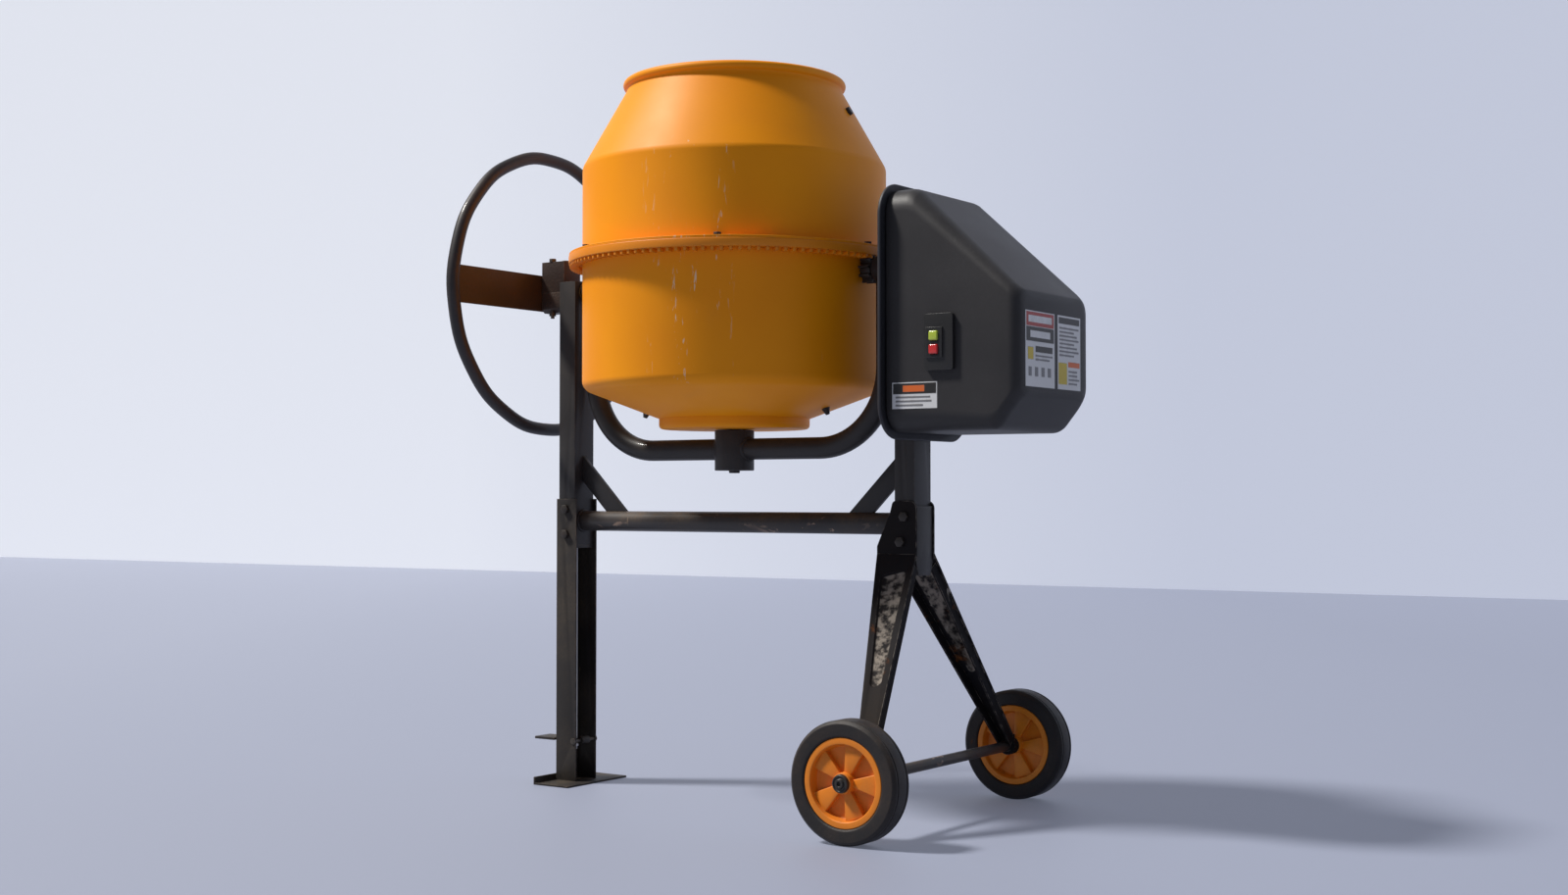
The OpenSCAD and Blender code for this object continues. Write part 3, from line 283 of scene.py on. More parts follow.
# rust in blotches with crumbly borders; Height lifts it a little
def buildRust():
    tree, given, out = newGroup("rust blotches", {"Place": None, "Scale": 9, "Amount": 0.3},
                                ["Mask", "Tone", "Height"])
    base = mottle(tree, given["Place"], given["Scale"], 9, 0.66, 0.5)
    edge = calc(tree, "SUBTRACT", 0.78, calc(tree, "MULTIPLY", given["Amount"], 0.42))
    mask = remap(tree, base, edge, calc(tree, "ADD", edge, 0.09))
    fine = mottle(tree, given["Place"], 260, 6, 0.7)
    tree.links.new(mask, out["Mask"])
    tree.links.new(fine, out["Tone"])
    tree.links.new(calc(tree, "MULTIPLY", mask, fine), out["Height"])
    return tree


# thin scratches, long along one axis, in loose clusters
def buildScratches():
    tree, given, out = newGroup("scratches", {"Place": None, "Across": 160, "Along": 9,
                                              "Amount": 0.3}, ["Mask"])
    squeeze = addNode(tree, "ShaderNodeCombineXYZ", {0: given["Across"], 1: given["Across"],
                                                     2: given["Along"]}).outputs[0]
    place = addNode(tree, "ShaderNodeVectorMath", {0: given["Place"], 1: squeeze},
                    operation="MULTIPLY").outputs[0]
    line = mottle(tree, place, 1.0, 2, 0.5, 0.6)
    edge = calc(tree, "SUBTRACT", 0.80, calc(tree, "MULTIPLY", given["Amount"], 0.2))
    thin = remap(tree, line, edge, calc(tree, "ADD", edge, 0.035))
    group = remap(tree, mottle(tree, given["Place"], 11, 3), 0.46, 0.62)
    tree.links.new(calc(tree, "MULTIPLY", thin, group), out["Mask"])
    return tree


# fine surface grain and a slow drift of tone
def buildGrain():
    tree, given, out = newGroup("grain", {"Place": None, "Fine": 900, "Slow": 3}, ["Height", "Tone"])
    tree.links.new(mottle(tree, given["Place"], given["Fine"], 2, 0.5), out["Height"])
    slow = mottle(tree, given["Place"], given["Slow"], 3, 0.5)
    tree.links.new(remap(tree, slow, 0.3, 0.7, kind="LINEAR"), out["Tone"])
    return tree


wornEdges, dustFilm, rustBlotches = buildWornEdges(), buildDust(), buildRust()
scratchLines, grainTone = buildScratches(), buildGrain()


def startMaterial(name):
    material = bpy.data.materials.new(name)
    material.use_nodes = True
    tree = material.node_tree
    tree.nodes.clear()
    shader = tree.nodes.new("ShaderNodeBsdfPrincipled")
    out = tree.nodes.new("ShaderNodeOutputMaterial")
    tree.links.new(shader.outputs[0], out.inputs[0])
    place = tree.nodes.new("ShaderNodeTexCoord").outputs["Object"]
    return material, tree, shader, place


def setBump(tree, shader, height, distance, strength=1.0):
    bump = addNode(tree, "ShaderNodeBump", {"Height": height, "Distance": distance,
                                            "Strength": strength})
    tree.links.new(bump.outputs[0], shader.inputs["Normal"])


# one recipe for coated, cast, rubber and plastic surfaces; look holds what differs
def coated(name, look):
    material, tree, shader, place = startMaterial(name)
    grain = useGroup(tree, grainTone, {"Place": place, "Fine": look.get("grain", 700),
                                       "Slow": look.get("slow", 3.5)})
    worn = useGroup(tree, wornEdges, {"Place": place, "Width": look.get("edge", 0.002),
                                      "Break": look.get("break", 55)})["Mask"]
    dust = useGroup(tree, dustFilm, {"Place": place, "Scale": look.get("dustScale", 7),
                                     "Amount": look.get("dust", 0.4)})["Mask"]
    rust = useGroup(tree, rustBlotches, {"Place": place, "Scale": look.get("rustScale", 9),
                                         "Amount": look.get("rust", 0.0)})
    lines = useGroup(tree, scratchLines, {"Place": place, "Across": look.get("across", 170),
                                          "Along": look.get("along", 10),
                                          "Amount": look.get("scratch", 0.2)})["Mask"]
    colour = mixColour(tree, grain["Tone"], look["colour"], look["shade"])
    rustTone = mixColour(tree, rust["Tone"], (0.045, 0.018, 0.008), (0.26, 0.095, 0.028))
    rustMask = calc(tree, "MULTIPLY", rust["Mask"], 1.0 if look.get("rust") else 0.0)
    wear = calc(tree, "MULTIPLY", worn, look.get("wear", 0.6))
    scored = calc(tree, "MULTIPLY", lines, look.get("scored", 0.5))
    for mask, tone in ((dust, look.get("dustColour", (0.12, 0.085, 0.055))), (rustMask, rustTone),
                       (wear, look.get("bare", (0.22, 0.20, 0.18))),
                       (scored, look.get("scratchColour", (0.35, 0.33, 0.30)))):
        colour = mixColour(tree, mask, colour, tone)
    for extra in look.get("extras", ()):
        colour = extra(tree, place, colour)
    tree.links.new(colour, shader.inputs["Base Color"])
    rough = remap(tree, grain["Tone"], 0.0, 1.0, look["rough"] - 0.05, look["rough"] + 0.06, "LINEAR")
    rough = calc(tree, "ADD", rough, calc(tree, "MULTIPLY", dust, 0.35))
    rough = calc(tree, "ADD", rough, calc(tree, "MULTIPLY", rustMask, 0.4))
    tree.links.new(calc(tree, "MINIMUM", rough, 0.95), shader.inputs["Roughness"])
    shader.inputs["Specular IOR Level"].default_value = look.get("specular", 0.4)
    if look.get("metal"):
        shader.inputs["Metallic"].default_value = look["metal"]
    if look.get("coat"):
        shader.inputs["Coat Weight"].default_value = look["coat"]
        shader.inputs["Coat Roughness"].default_value = look.get("coatRough", 0.12)
    height = calc(tree, "MULTIPLY", grain["Height"], look.get("relief", 0.35))
    lift = 0.9 if look.get("rust") else 0
    height = calc(tree, "ADD", height, calc(tree, "MULTIPLY", rust["Height"], lift))
    height = calc(tree, "SUBTRACT", height, calc(tree, "MULTIPLY", lines, 0.4))
    setBump(tree, shader, height, look.get("depth", 0.0004))
    return material


# ---------- finishes ----------

drumCentre = middle("drum_upper")


# pale flecks on the front of the drum, in short upright runs
def drumFlecks(tree, place, colour):
    aim = math.radians(-71)
    spot = addNode(tree, "ShaderNodeVectorMath", {0: place, 1: (drumCentre.x, drumCentre.y, 0)},
                   operation="SUBTRACT").outputs[0]
    facing = addNode(tree, "ShaderNodeVectorMath", {0: spot, 1: (math.cos(aim), math.sin(aim), 0)},
                     operation="DOT_PRODUCT").outputs["Value"]
    front = remap(tree, facing, 0.282, 0.300)
    long = mottle(tree, stretched(tree, place, (190, 190, 34)), 1.0, 3, 0.6, 0.8)
    fleck = remap(tree, long, 0.60, 0.655)
    run = remap(tree, mottle(tree, stretched(tree, place, (40, 40, 5)), 1.0, 2), 0.50, 0.58)
    mask = calc(tree, "MULTIPLY", calc(tree, "MULTIPLY", fleck, run), front)
    return mixColour(tree, calc(tree, "MULTIPLY", mask, 0.8), colour, (0.86, 0.66, 0.46))


# grey smears that cement leaves on paint
def cementSmears(tree, place, colour):
    smear = remap(tree, mottle(tree, stretched(tree, place, (5, 5, 2.2)), 1.0, 6, 0.6, 0.6), 0.58, 0.78)
    return mixColour(tree, calc(tree, "MULTIPLY", smear, 0.12), colour, (0.62, 0.30, 0.10))


# bare metal where the cross bar is stepped on and knocked
def barScuffs(tree, place, colour):
    patch = remap(tree, mottle(tree, stretched(tree, place, (16, 30, 30)), 1.0, 5, 0.62, 0.5), 0.60, 0.66)
    along = remap(tree, mottle(tree, stretched(tree, place, (5, 4, 4)), 1.0, 2), 0.50, 0.60)
    mask = calc(tree, "MULTIPLY", patch, along)
    return mixColour(tree, calc(tree, "MULTIPLY", mask, 0.8), colour, (0.40, 0.27, 0.19))


finishes = {
    "drum": {"colour": (0.97, 0.34, 0.0008), "shade": (0.9, 0.285, 0.001), "rough": 0.50,
        "specular": 0.22, "relief": 0.12, "grain": 420, "dust": 0.10, "dustColour": (0.40, 0.17, 0.03),
        "wear": 0.35, "bare": (0.30, 0.14, 0.06), "scored": 0.35, "scratch": 0.15,
        "scratchColour": (0.75, 0.55, 0.36), "extras": (cementSmears, drumFlecks), "depth": 0.0003},
    "ring": {"colour": (0.88, 0.29, 0.003), "shade": (0.76, 0.22, 0.004), "rough": 0.44, "relief": 0.5,
        "grain": 300, "dust": 0.2, "dustColour": (0.24, 0.11, 0.04), "wear": 0.55,
        "bare": (0.16, 0.08, 0.04)},
    "frame": {"colour": (0.016, 0.015, 0.016), "shade": (0.028, 0.025, 0.025), "rough": 0.48,
        "coat": 0.15, "dust": 0.5, "dustColour": (0.085, 0.066, 0.048), "rust": 0.16, "rustScale": 14,
        "wear": 0.55, "bare": (0.14, 0.10, 0.075), "scored": 0.4, "scratchColour": (0.32, 0.24, 0.16),
        "relief": 0.3, "specular": 0.3},
    "leg": {"colour": (0.016, 0.014, 0.014), "shade": (0.032, 0.028, 0.026), "rough": 0.52, "dust": 0.95,
        "dustColour": (0.10, 0.075, 0.05), "rust": 0.34, "wear": 0.8, "bare": (0.20, 0.14, 0.10),
        "scored": 0.6, "scratch": 0.4, "scratchColour": (0.30, 0.20, 0.12), "relief": 0.4,
        "specular": 0.28},
    "wheelLeg": {"colour": (0.011, 0.0105, 0.013), "shade": (0.021, 0.017, 0.015), "rough": 0.72,
        "dust": 0.28, "dustColour": (0.06, 0.042, 0.028), "rust": 0.38, "rustScale": 11, "wear": 0.85,
        "bare": (0.30, 0.26, 0.22), "scored": 0.85, "scratch": 0.55, "across": 60, "along": 7,
        "scratchColour": (0.42, 0.38, 0.33), "relief": 0.4, "specular": 0.08},
    "bar": {"colour": (0.022, 0.022, 0.027), "shade": (0.042, 0.038, 0.036), "rough": 0.46, "coat": 0.2,
        "dust": 0.8, "dustColour": (0.16, 0.095, 0.045), "rust": 0.22, "rustScale": 16, "wear": 0.5,
        "scored": 0.55, "scratch": 0.35, "scratchColour": (0.55, 0.38, 0.24), "relief": 0.3,
        "specular": 0.3, "extras": (barScuffs,)},
    "tiltWheel": {"colour": (0.018, 0.018, 0.022), "shade": (0.030, 0.028, 0.030), "rough": 0.46,
        "coat": 0.2, "dust": 0.55, "dustColour": (0.11, 0.06, 0.03), "rust": 0.10, "wear": 0.4,
        "relief": 0.25, "specular": 0.3},
    # tilt wheel's flat bar: its brown colour and orange dust tone are partly rust dust and partly a
    # painted reflection of the orange drum
    "tiltBarRustAndDrumReflection": {"colour": (0.050, 0.026, 0.012), "shade": (0.028, 0.018, 0.012), "rough": 0.42,
        "dust": 0.8, "dustColour": (0.16, 0.07, 0.025), "rust": 0.25, "wear": 0.5},
    "casting": {"colour": (0.030, 0.021, 0.018), "shade": (0.050, 0.032, 0.025), "rough": 0.42,
        "dust": 0.6, "dustColour": (0.14, 0.085, 0.05), "rust": 0.24, "rustScale": 22, "wear": 0.7,
        "bare": (0.20, 0.13, 0.09), "relief": 1.2, "grain": 260, "depth": 0.0006, "specular": 0.25},
    "housing": {"colour": (0.027, 0.0255, 0.027), "shade": (0.036, 0.034, 0.035), "rough": 0.46,
        "dust": 0.26, "dustColour": (0.13, 0.125, 0.13), "wear": 0.25, "bare": (0.07, 0.07, 0.072),
        "scored": 0.10, "relief": 0.75, "grain": 1150, "depth": 0.0003, "edge": 0.003, "dustScale": 4,
        "specular": 0.28},
    "panel": {"colour": (0.026, 0.026, 0.031), "shade": (0.034, 0.034, 0.04), "rough": 0.48, "dust": 0.3,
        "dustColour": (0.14, 0.135, 0.14), "wear": 0.3, "bare": (0.11, 0.11, 0.115), "relief": 0.6,
        "grain": 1000, "depth": 0.0003, "specular": 0.3},
    "rim": {"colour": (0.86, 0.27, 0.008), "shade": (0.74, 0.21, 0.012), "rough": 0.40, "dust": 0.7,
        "dustColour": (0.24, 0.085, 0.025), "wear": 0.35, "bare": (0.85, 0.42, 0.14), "relief": 0.4,
        "dustScale": 24, "scored": 0.25, "scratchColour": (0.9, 0.55, 0.25)},
    "tyre": {"colour": (0.011, 0.0115, 0.015), "shade": (0.02, 0.018, 0.018), "rough": 0.46,
        "dust": 0.85, "dustColour": (0.085, 0.052, 0.032), "wear": 0.4, "bare": (0.055, 0.045, 0.038),
        "relief": 1.0, "grain": 600, "dustScale": 16, "scored": 0.3,
        "scratchColour": (0.10, 0.06, 0.035), "depth": 0.0005, "specular": 0.3, "rust": 0.2,
        "rustScale": 12},
    "blackPlastic": {"colour": (0.012, 0.012, 0.013), "shade": (0.022, 0.021, 0.021), "rough": 0.30,
        "dust": 0.3, "wear": 0.3, "relief": 0.3},
    "switch": {"colour": (0.016, 0.016, 0.017), "shade": (0.022, 0.022, 0.023), "rough": 0.34,
        "dust": 0.2, "wear": 0.3, "bare": (0.08, 0.08, 0.08), "relief": 0.5, "grain": 1300,
        "depth": 0.0002},
    "green": {"colour": (0.4, 0.5, 0.05), "shade": (0.46, 0.55, 0.07), "rough": 0.22, "coat": 0.5,
        "dust": 0.15, "wear": 0.2, "bare": (0.4, 0.6, 0.2), "relief": 0.1},
    "red": {"colour": (0.62, 0.030, 0.030), "shade": (0.50, 0.022, 0.022), "rough": 0.22, "coat": 0.5,
        "dust": 0.15, "wear": 0.2, "bare": (0.7, 0.2, 0.18), "relief": 0.1},
    "steel": {"colour": (0.42, 0.42, 0.43), "shade": (0.52, 0.51, 0.50), "rough": 0.30, "metal": 0.95,
        "dust": 0.25, "wear": 0.3, "bare": (0.7, 0.7, 0.7), "rust": 0.08, "rustScale": 30,
        "relief": 0.3},
    "bolt": {"colour": (0.075, 0.068, 0.062), "shade": (0.11, 0.095, 0.08), "rough": 0.42, "metal": 0.75,
        "dust": 0.5, "rust": 0.34, "rustScale": 60, "wear": 0.9, "bare": (0.34, 0.30, 0.26),
        "edge": 0.0012, "relief": 0.8},
    "darkBolt": {"colour": (0.018, 0.015, 0.014), "shade": (0.035, 0.026, 0.022), "rough": 0.45,
        "dust": 0.5, "rust": 0.2, "rustScale": 60, "wear": 0.8, "edge": 0.0012},
    "bronze": {"colour": (0.48, 0.29, 0.10), "shade": (0.40, 0.24, 0.09), "rough": 0.34, "metal": 0.95,
        "dust": 0.3, "relief": 0.2, "wear": 0.2},
    "blade": {"colour": (0.24, 0.22, 0.20), "shade": (0.34, 0.32, 0.29), "rough": 0.66, "metal": 0.35,
        "dust": 0.7, "dustColour": (0.40, 0.37, 0.33), "rust": 0.34, "rustScale": 16, "wear": 0.8,
        "bare": (0.5, 0.49, 0.47), "relief": 1.6, "grain": 220, "depth": 0.0010},
    "cement": {"colour": (0.30, 0.285, 0.26), "shade": (0.40, 0.385, 0.355), "rough": 0.82, "dust": 0.6,
        "dustColour": (0.47, 0.45, 0.41), "rust": 0.22, "rustScale": 7, "wear": 0.3, "relief": 2.4,
        "grain": 120, "depth": 0.0016},
    "alloy": {"colour": (0.46, 0.46, 0.47), "shade": (0.38, 0.38, 0.39), "rough": 0.45, "metal": 0.85,
        "dust": 0.3, "relief": 0.7, "grain": 400},
    "motor": {"colour": (0.085, 0.095, 0.105), "shade": (0.11, 0.12, 0.13), "rough": 0.46,
        "bare": (0.4, 0.4, 0.4), "relief": 1.0, "grain": 350},
    "belt": {"colour": (0.014, 0.014, 0.014), "shade": (0.022, 0.021, 0.02), "rough": 0.6, "relief": 0.8,
        "grain": 500},
    "labelWhite": {"colour": (0.70, 0.70, 0.71), "shade": (0.62, 0.62, 0.62), "rough": 0.36,
        "dust": 0.35, "dustColour": (0.42, 0.40, 0.37), "relief": 0.1, "scored": 0.3,
        "scratchColour": (0.3, 0.3, 0.3)},
}
inks = {
    "labelBlack": ((0.016, 0.016, 0.017), (0.024, 0.024, 0.024), 0.36),
    "labelOrange": ((0.74, 0.15, 0.025), (0.66, 0.13, 0.025), 0.36),
    "labelRed": ((0.40, 0.035, 0.028), (0.34, 0.03, 0.025), 0.36),
    "labelYellow": ((0.66, 0.50, 0.03), (0.58, 0.43, 0.03), 0.36),
    "labelGrey": ((0.16, 0.16, 0.17), (0.22, 0.22, 0.23), 0.4),
}
for name, (colour, shade, rough) in inks.items():
    finishes[name] = {"colour": colour, "shade": shade, "rough": rough, "dust": 0.3, "relief": 0.1}
paint = {name: coated(name, look) for name, look in finishes.items()}
print("finishes built:", len(paint))


# ---------- drum ----------

drum = {"cylinderRadius": 0.300, "sheet": 0.0025, "neckRadius": 0.212, "beadRadius": 0.0085,
        "upperHeight": 0.171, "lowerHeight": 0.263, "topCone": 0.156, "bottomCone": 0.057,
        "dishRadius": 0.149, "crease": 0.022, "spindleRadius": 0.015,
        "sides": 144, "dishSheet": 0.004}


def onZ(radius, height, soft=0.0):
    return radius, height, soft


def buildUpperDrum():
    low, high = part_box("drum_upper")
    lipRadius = (high.x - low.x) / 2
    seam, t = low.z, drum["sheet"]
    outer, neck = drum["cylinderRadius"], drum["neckRadius"]
    shoulder = seam + drum["upperHeight"]
    coneTop = shoulder + drum["topCone"]
    bead = Vector((neck, high.z - drum["beadRadius"]))
    profile = [onZ(outer - t, seam), onZ(lipRadius, seam, 0.0006), onZ(lipRadius, seam + t, 0.0009),
               onZ(outer, seam + t, 0.004), onZ(outer, shoulder, drum["crease"]),
               onZ(neck, coneTop, 0.010)]
    for k in range(17):
        angle = math.radians(-76 + k * 20.5)
        profile.append(onZ(bead.x + drum["beadRadius"] * math.cos(angle),
                           bead.y + drum["beadRadius"] * math.sin(angle)))
    profile += [onZ(neck - t, coneTop - 0.001, 0.010), onZ(outer - t, shoulder - 0.0014, drum["crease"])]
    bm = bmesh.new()
    spun(bm, profile, "z", middle("drum_upper"), drum["sides"])
    markInside(bm, lambda z: outer - t * 0.5 if z < shoulder else
               outer - (z - shoulder) * (outer - neck) / drum["topCone"] - t * 0.6, seam + 0.004)
    makePiece(bm, "drumUpperShell", "drum", [paint["drum"], paint["cement"]],
              ["drum_upper"])


# gives the wall's inner faces the second material
def markInside(bm, radiusAt, lowest):
    centre = middle("drum_upper")
    bmesh.ops.recalc_face_normals(bm, faces=bm.faces)
    for face in bm.faces:
        spot = face.calc_center_median()
        away = Vector((spot.x - centre.x, spot.y - centre.y, 0))
        inward = face.normal.dot(away) < 0
        if inward and away.length < radiusAt(spot.z) and spot.z > lowest:
            face.material_index = 1


def buildLowerDrum():
    low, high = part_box("drum_lower")
    lipRadius = (high.x - low.x) / 2
    seam, t = high.z, drum["sheet"]
    outer, dish = drum["cylinderRadius"], drum["dishRadius"]
    crease = seam - drum["lowerHeight"]
    floor = crease - drum["bottomCone"]
    slope = drum["bottomCone"] / (outer - dish)
    profile = [onZ(drum["spindleRadius"], floor), onZ(dish, floor, 0.004),
               onZ(outer, crease, drum["crease"]), onZ(outer, seam - t, 0.003),
               onZ(lipRadius, seam - t, 0.0006), onZ(lipRadius, seam, 0.0006), onZ(outer - t, seam),
               onZ(outer - t, crease + t * (1.07 - slope), drum["crease"] - t),
               onZ(dish, floor + t, 0.004), onZ(drum["spindleRadius"], floor + t)]
    bm = bmesh.new()
    spun(bm, profile, "z", middle("drum_lower"), drum["sides"])
    markInside(bm, lambda z: outer - t * 0.5, crease)
    for face in bm.faces:
        if face.normal.z > 0.3 and face.calc_center_median().z < crease + 0.03:
            face.material_index = 1
    makePiece(bm, "drumLowerShell", "drum", [paint["drum"], paint["cement"]],
              ["drum_lower"])


def buildDish():
    low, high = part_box("drum_dish")
    radius, t = (high.x - low.x) / 2, drum["dishSheet"]
    profile = [onZ(drum["spindleRadius"], low.z), onZ(radius, low.z, 0.008), onZ(radius, high.z),
               onZ(radius - t, high.z), onZ(radius - t, low.z + t, 0.004),
               onZ(drum["spindleRadius"], low.z + t)]
    bm = bmesh.new()
    spun(bm, profile, "z", middle("drum_dish"), drum["sides"])
    makePiece(bm, "drumDishPan", "drum", [paint["drum"]], ["drum_dish"])


ring = {"teeth": 120, "toothHalf": 0.00325, "toothHigh": 0.007, "toothFrom": 0.306, "toothTo": 0.325,
        "draft": 0.0005, "inner": 0.3002}


# a plain cast ring with square teeth standing down from its underside
def buildRing():
    low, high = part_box("ring_gear")
    centre = (low + high) / 2
    outer, root = (high.x - low.x) / 2, low.z + ring["toothHigh"]
    bm = bmesh.new()
    spun(bm, [(ring["inner"], root, 0), (outer, root, 0.0012), (outer, high.z, 0.0014),
              (ring["inner"], high.z, 0)], "z", centre, ring["teeth"] * 2, 3)
    tooth = bmesh.new()
    wide = ring["toothHalf"]
    narrow = wide - ring["draft"]
    x0, x1 = centre.x + ring["toothFrom"], centre.x + ring["toothTo"]
    slab(tooth, [(Vector((x0, -wide, root + 0.001)), 0), (Vector((x0, wide, root + 0.001)), 0),
                 (Vector((x0, narrow, low.z)), 0), (Vector((x0, -narrow, low.z)), 0)],
         Vector((x1 - x0, 0, 0)))
    soften(tooth, 0.0008, 2)
    mesh = bpy.data.meshes.new("tooth")
    tooth.to_mesh(mesh)
    tooth.free()
    for k in range(ring["teeth"]):
        before = len(bm.verts)
        bm.from_mesh(mesh)
        bm.verts.ensure_lookup_table()
        turn = Matrix.Rotation(full * (k + 0.5) / ring["teeth"], 3, "Z")
        bmesh.ops.rotate(bm, verts=bm.verts[before:], cent=centre, matrix=turn)
    bpy.data.meshes.remove(mesh)
    makePiece(bm, "ringGearCasting", "drum", [paint["ring"]], ["ring_gear"])


buildUpperDrum()
buildLowerDrum()
buildDish()
buildRing()
print("drum built")


# ---------- road wheels ----------

roadWheel = {"tyreBulge": 0.006, "shoulder": 0.005, "grooveDepth": 0.003, "grooveWidth": 0.003,
             "groovePlace": 0.0145, "face": 0.012, "web": 0.004, "hubRadius": 0.0190, "bore": 0.0102,
             "wedges": 5, "wedgeOut": 0.0195, "wedgeIn": 0.0065, "wedgeSink": 0.0075,
             "wedgeTurn": -0.314, "sides": 112, "seatIn": 0.0035}


def buildTyre(node, name, body):
    low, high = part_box(node)
    centre = (low + high) / 2
    y0, outer, half = centre.y, (high.x - low.x) / 2, (high.y - low.y) / 2
    rim = (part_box(node.replace("tyre", "rim"))[1].x - centre.x)
    sink, gap = roadWheel["grooveDepth"], roadWheel["grooveWidth"] / 2
    right = [(rim, 0.003, 0.001), (rim + 0.003, 0.0012, 0.001), (outer - roadWheel["tyreBulge"], 0, 0.003),
             (outer, roadWheel["shoulder"] + 0.001, 0.003)]
    side = [(r, y0 + half - inset, soft) for r, inset, soft in right]
    other = [(r, y0 - half + inset, soft) for r, inset, soft in reversed(right)]
    tread = []
    for place in (roadWheel["groovePlace"], -roadWheel["groovePlace"]):
        tread += [(outer, y0 + place + gap, 0.0005), (outer - sink, y0 + place + gap * 0.6, 0.0004),
                  (outer - sink, y0 + place - gap * 0.6, 0.0004), (outer, y0 + place - gap, 0.0005)]
    bm = bmesh.new()
    spun(bm, side + tread + other, "y", centre, roadWheel["sides"], 4)
    makePiece(bm, name, body, [paint["tyre"]], [node], 50)


def buildRim(node, name, body):
    low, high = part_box(node)
    centre = (low + high) / 2
    radius, half = (high.x - low.x) / 2, (high.y - low.y) / 2
    ring = radius - roadWheel["face"]
    seat = half - roadWheel["seatIn"]
    right = [(radius - 0.0002, seat - 0.002, 0.0008), (radius - 0.0015, seat + 0.001, 0.0008),
             (ring, seat + 0.001, 0.0018), (ring - 0.002, seat - 0.010, 0.0010),
             (ring - 0.0035, roadWheel["web"], 0.003), (roadWheel["hubRadius"], roadWheel["web"], 0.002),
             (roadWheel["hubRadius"] - 0.0012, half, 0.0012), (roadWheel["bore"], half, 0.0006)]
    profile = [(r, centre.y + y, soft) for r, y, soft in right]
    profile += [(r, centre.y - y, soft) for r, y, soft in reversed(right)]
    bm = bmesh.new()
    spun(bm, profile, "y", centre, roadWheel["sides"], 4)
    thick = seat + 0.001 - roadWheel["wedgeSink"]
    for k in range(roadWheel["wedges"]):
        wedge = bmesh.new()
        start, finish = roadWheel["hubRadius"] - 0.003, ring - 0.002
        wide, narrow = roadWheel["wedgeOut"], roadWheel["wedgeIn"]
        corners = [(-narrow, start), (narrow, start), (wide, finish), (-wide, finish)]
        slab(wedge, [(centre + Vector((x, -thick, z)), 0) for x, z in corners], Vector((0, 2 * thick, 0)))
        soften(wedge, 0.0014, 3)
        turn = Matrix.Rotation(full * (k + 0.5) / roadWheel["wedges"] + roadWheel["wedgeTurn"], 3, "Y")
        bmesh.ops.rotate(wedge, verts=wedge.verts, cent=centre, matrix=turn)
        addTo(bm, wedge)
    makePiece(bm, name, body, [paint["rim"]], [node], 40)


# copies one bmesh into another
def addTo(bm, other):
    mesh = bpy.data.meshes.new("part")
    other.to_mesh(mesh)
    other.free()
    bm.from_mesh(mesh)
    bpy.data.meshes.remove(mesh)


def buildHubCap(node, name, body, side):
    low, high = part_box(node)
    centre = (low + high) / 2
    radius = (high.x - low.x) / 2
    inner, outer = (high.y, low.y) if side < 0 else (low.y, high.y)
    depth = abs(outer - inner)
    steps = [(0.0003, 0.0045, 0), (0.0030, 0.0045, 0.0006), (0.0040, 0, 0.0010), (0.0078, 0, 0.0012),
             (0.0088, 0.0035, 0.0008), (0.0118, 0.0040, 0.0008), (0.0128, 0.0022, 0.0008),
             (radius - 0.0008, 0.0030, 0.0012), (radius, 0.0060, 0.0010), (radius, depth, 0.0003),
             (0.0003, depth, 0)]
    profile = [(r, outer - side * inset, soft) for r, inset, soft in steps]
    bm = bmesh.new()
    spun(bm, profile, "y", centre, 64, 3)
    makePiece(bm, name, body, [paint["blackPlastic"]], [node], 45)


for end, side in (("front", -1), ("rear", 1)):
    body = end + "_wheel"
    buildTyre(end + "_tyre", end + "Tyre", body)
    buildRim(end + "_rim", end + "Rim", body)
    buildHubCap(end + "_hub_cap", end + "HubCap", body, side)
print("road wheels built")


# ---------- tilt wheel and yoke ----------

tiltWheel = {"tubeRadius": 0.013, "wave": 0.0016, "sides": 24, "steps": 144, "barHeight": 0.076,
             "barThick": 0.006}


def buildTiltWheel():
    low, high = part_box("tilt_wheel")
    centre = (low + high) / 2
    r = tiltWheel["tubeRadius"]
    reach = (high.z - low.z) / 2 - r - tiltWheel["wave"] * 0.5
    bm = bmesh.new()
    edges = ringOfEdges(bm, r, centre + Vector((0, 0, reach)), axes["y"], tiltWheel["sides"])
    verts = list({vert for edge in edges for vert in edge.verts})
    bmesh.ops.spin(bm, geom=verts + edges, cent=centre, axis=axes["x"], angle=full,
                   steps=tiltWheel["steps"], use_merge=True, use_duplicate=False)
    # a hand-bent ring isn't quite true: short straights between soft bends
    for vert in bm.verts:
        away = vert.co - centre
        turn = math.atan2(away.z, away.y)
        away.x = 0
        vert.co += away.normalized() * tiltWheel["wave"] * 0.5 * math.cos(14 * turn + 0.6)
    bar = bmesh.new()
    half = tiltWheel["barHeight"] / 2
    thick = tiltWheel["barThick"] / 2
    box(bar, (centre.x - thick, centre.y - reach, centre.z - half),
        (centre.x + thick, centre.y + reach, centre.z + half))
    soften(bar, 0.0012, 2)
    # the bar takes the second finish, brown partly from rust dust and partly from a painted reflection of
    # the drum
    for face in bar.faces:
        face.material_index = 1
    addTo(bm, bar)
    makePiece(bm, "tiltWheelRing", "yoke", [paint["tiltWheel"], paint["tiltBarRustAndDrumReflection"]],
              ["tilt_wheel"])


yoke = {"tubeRadius": 0.021, "bend": 0.150, "sides": 40, "bendSteps": 24}


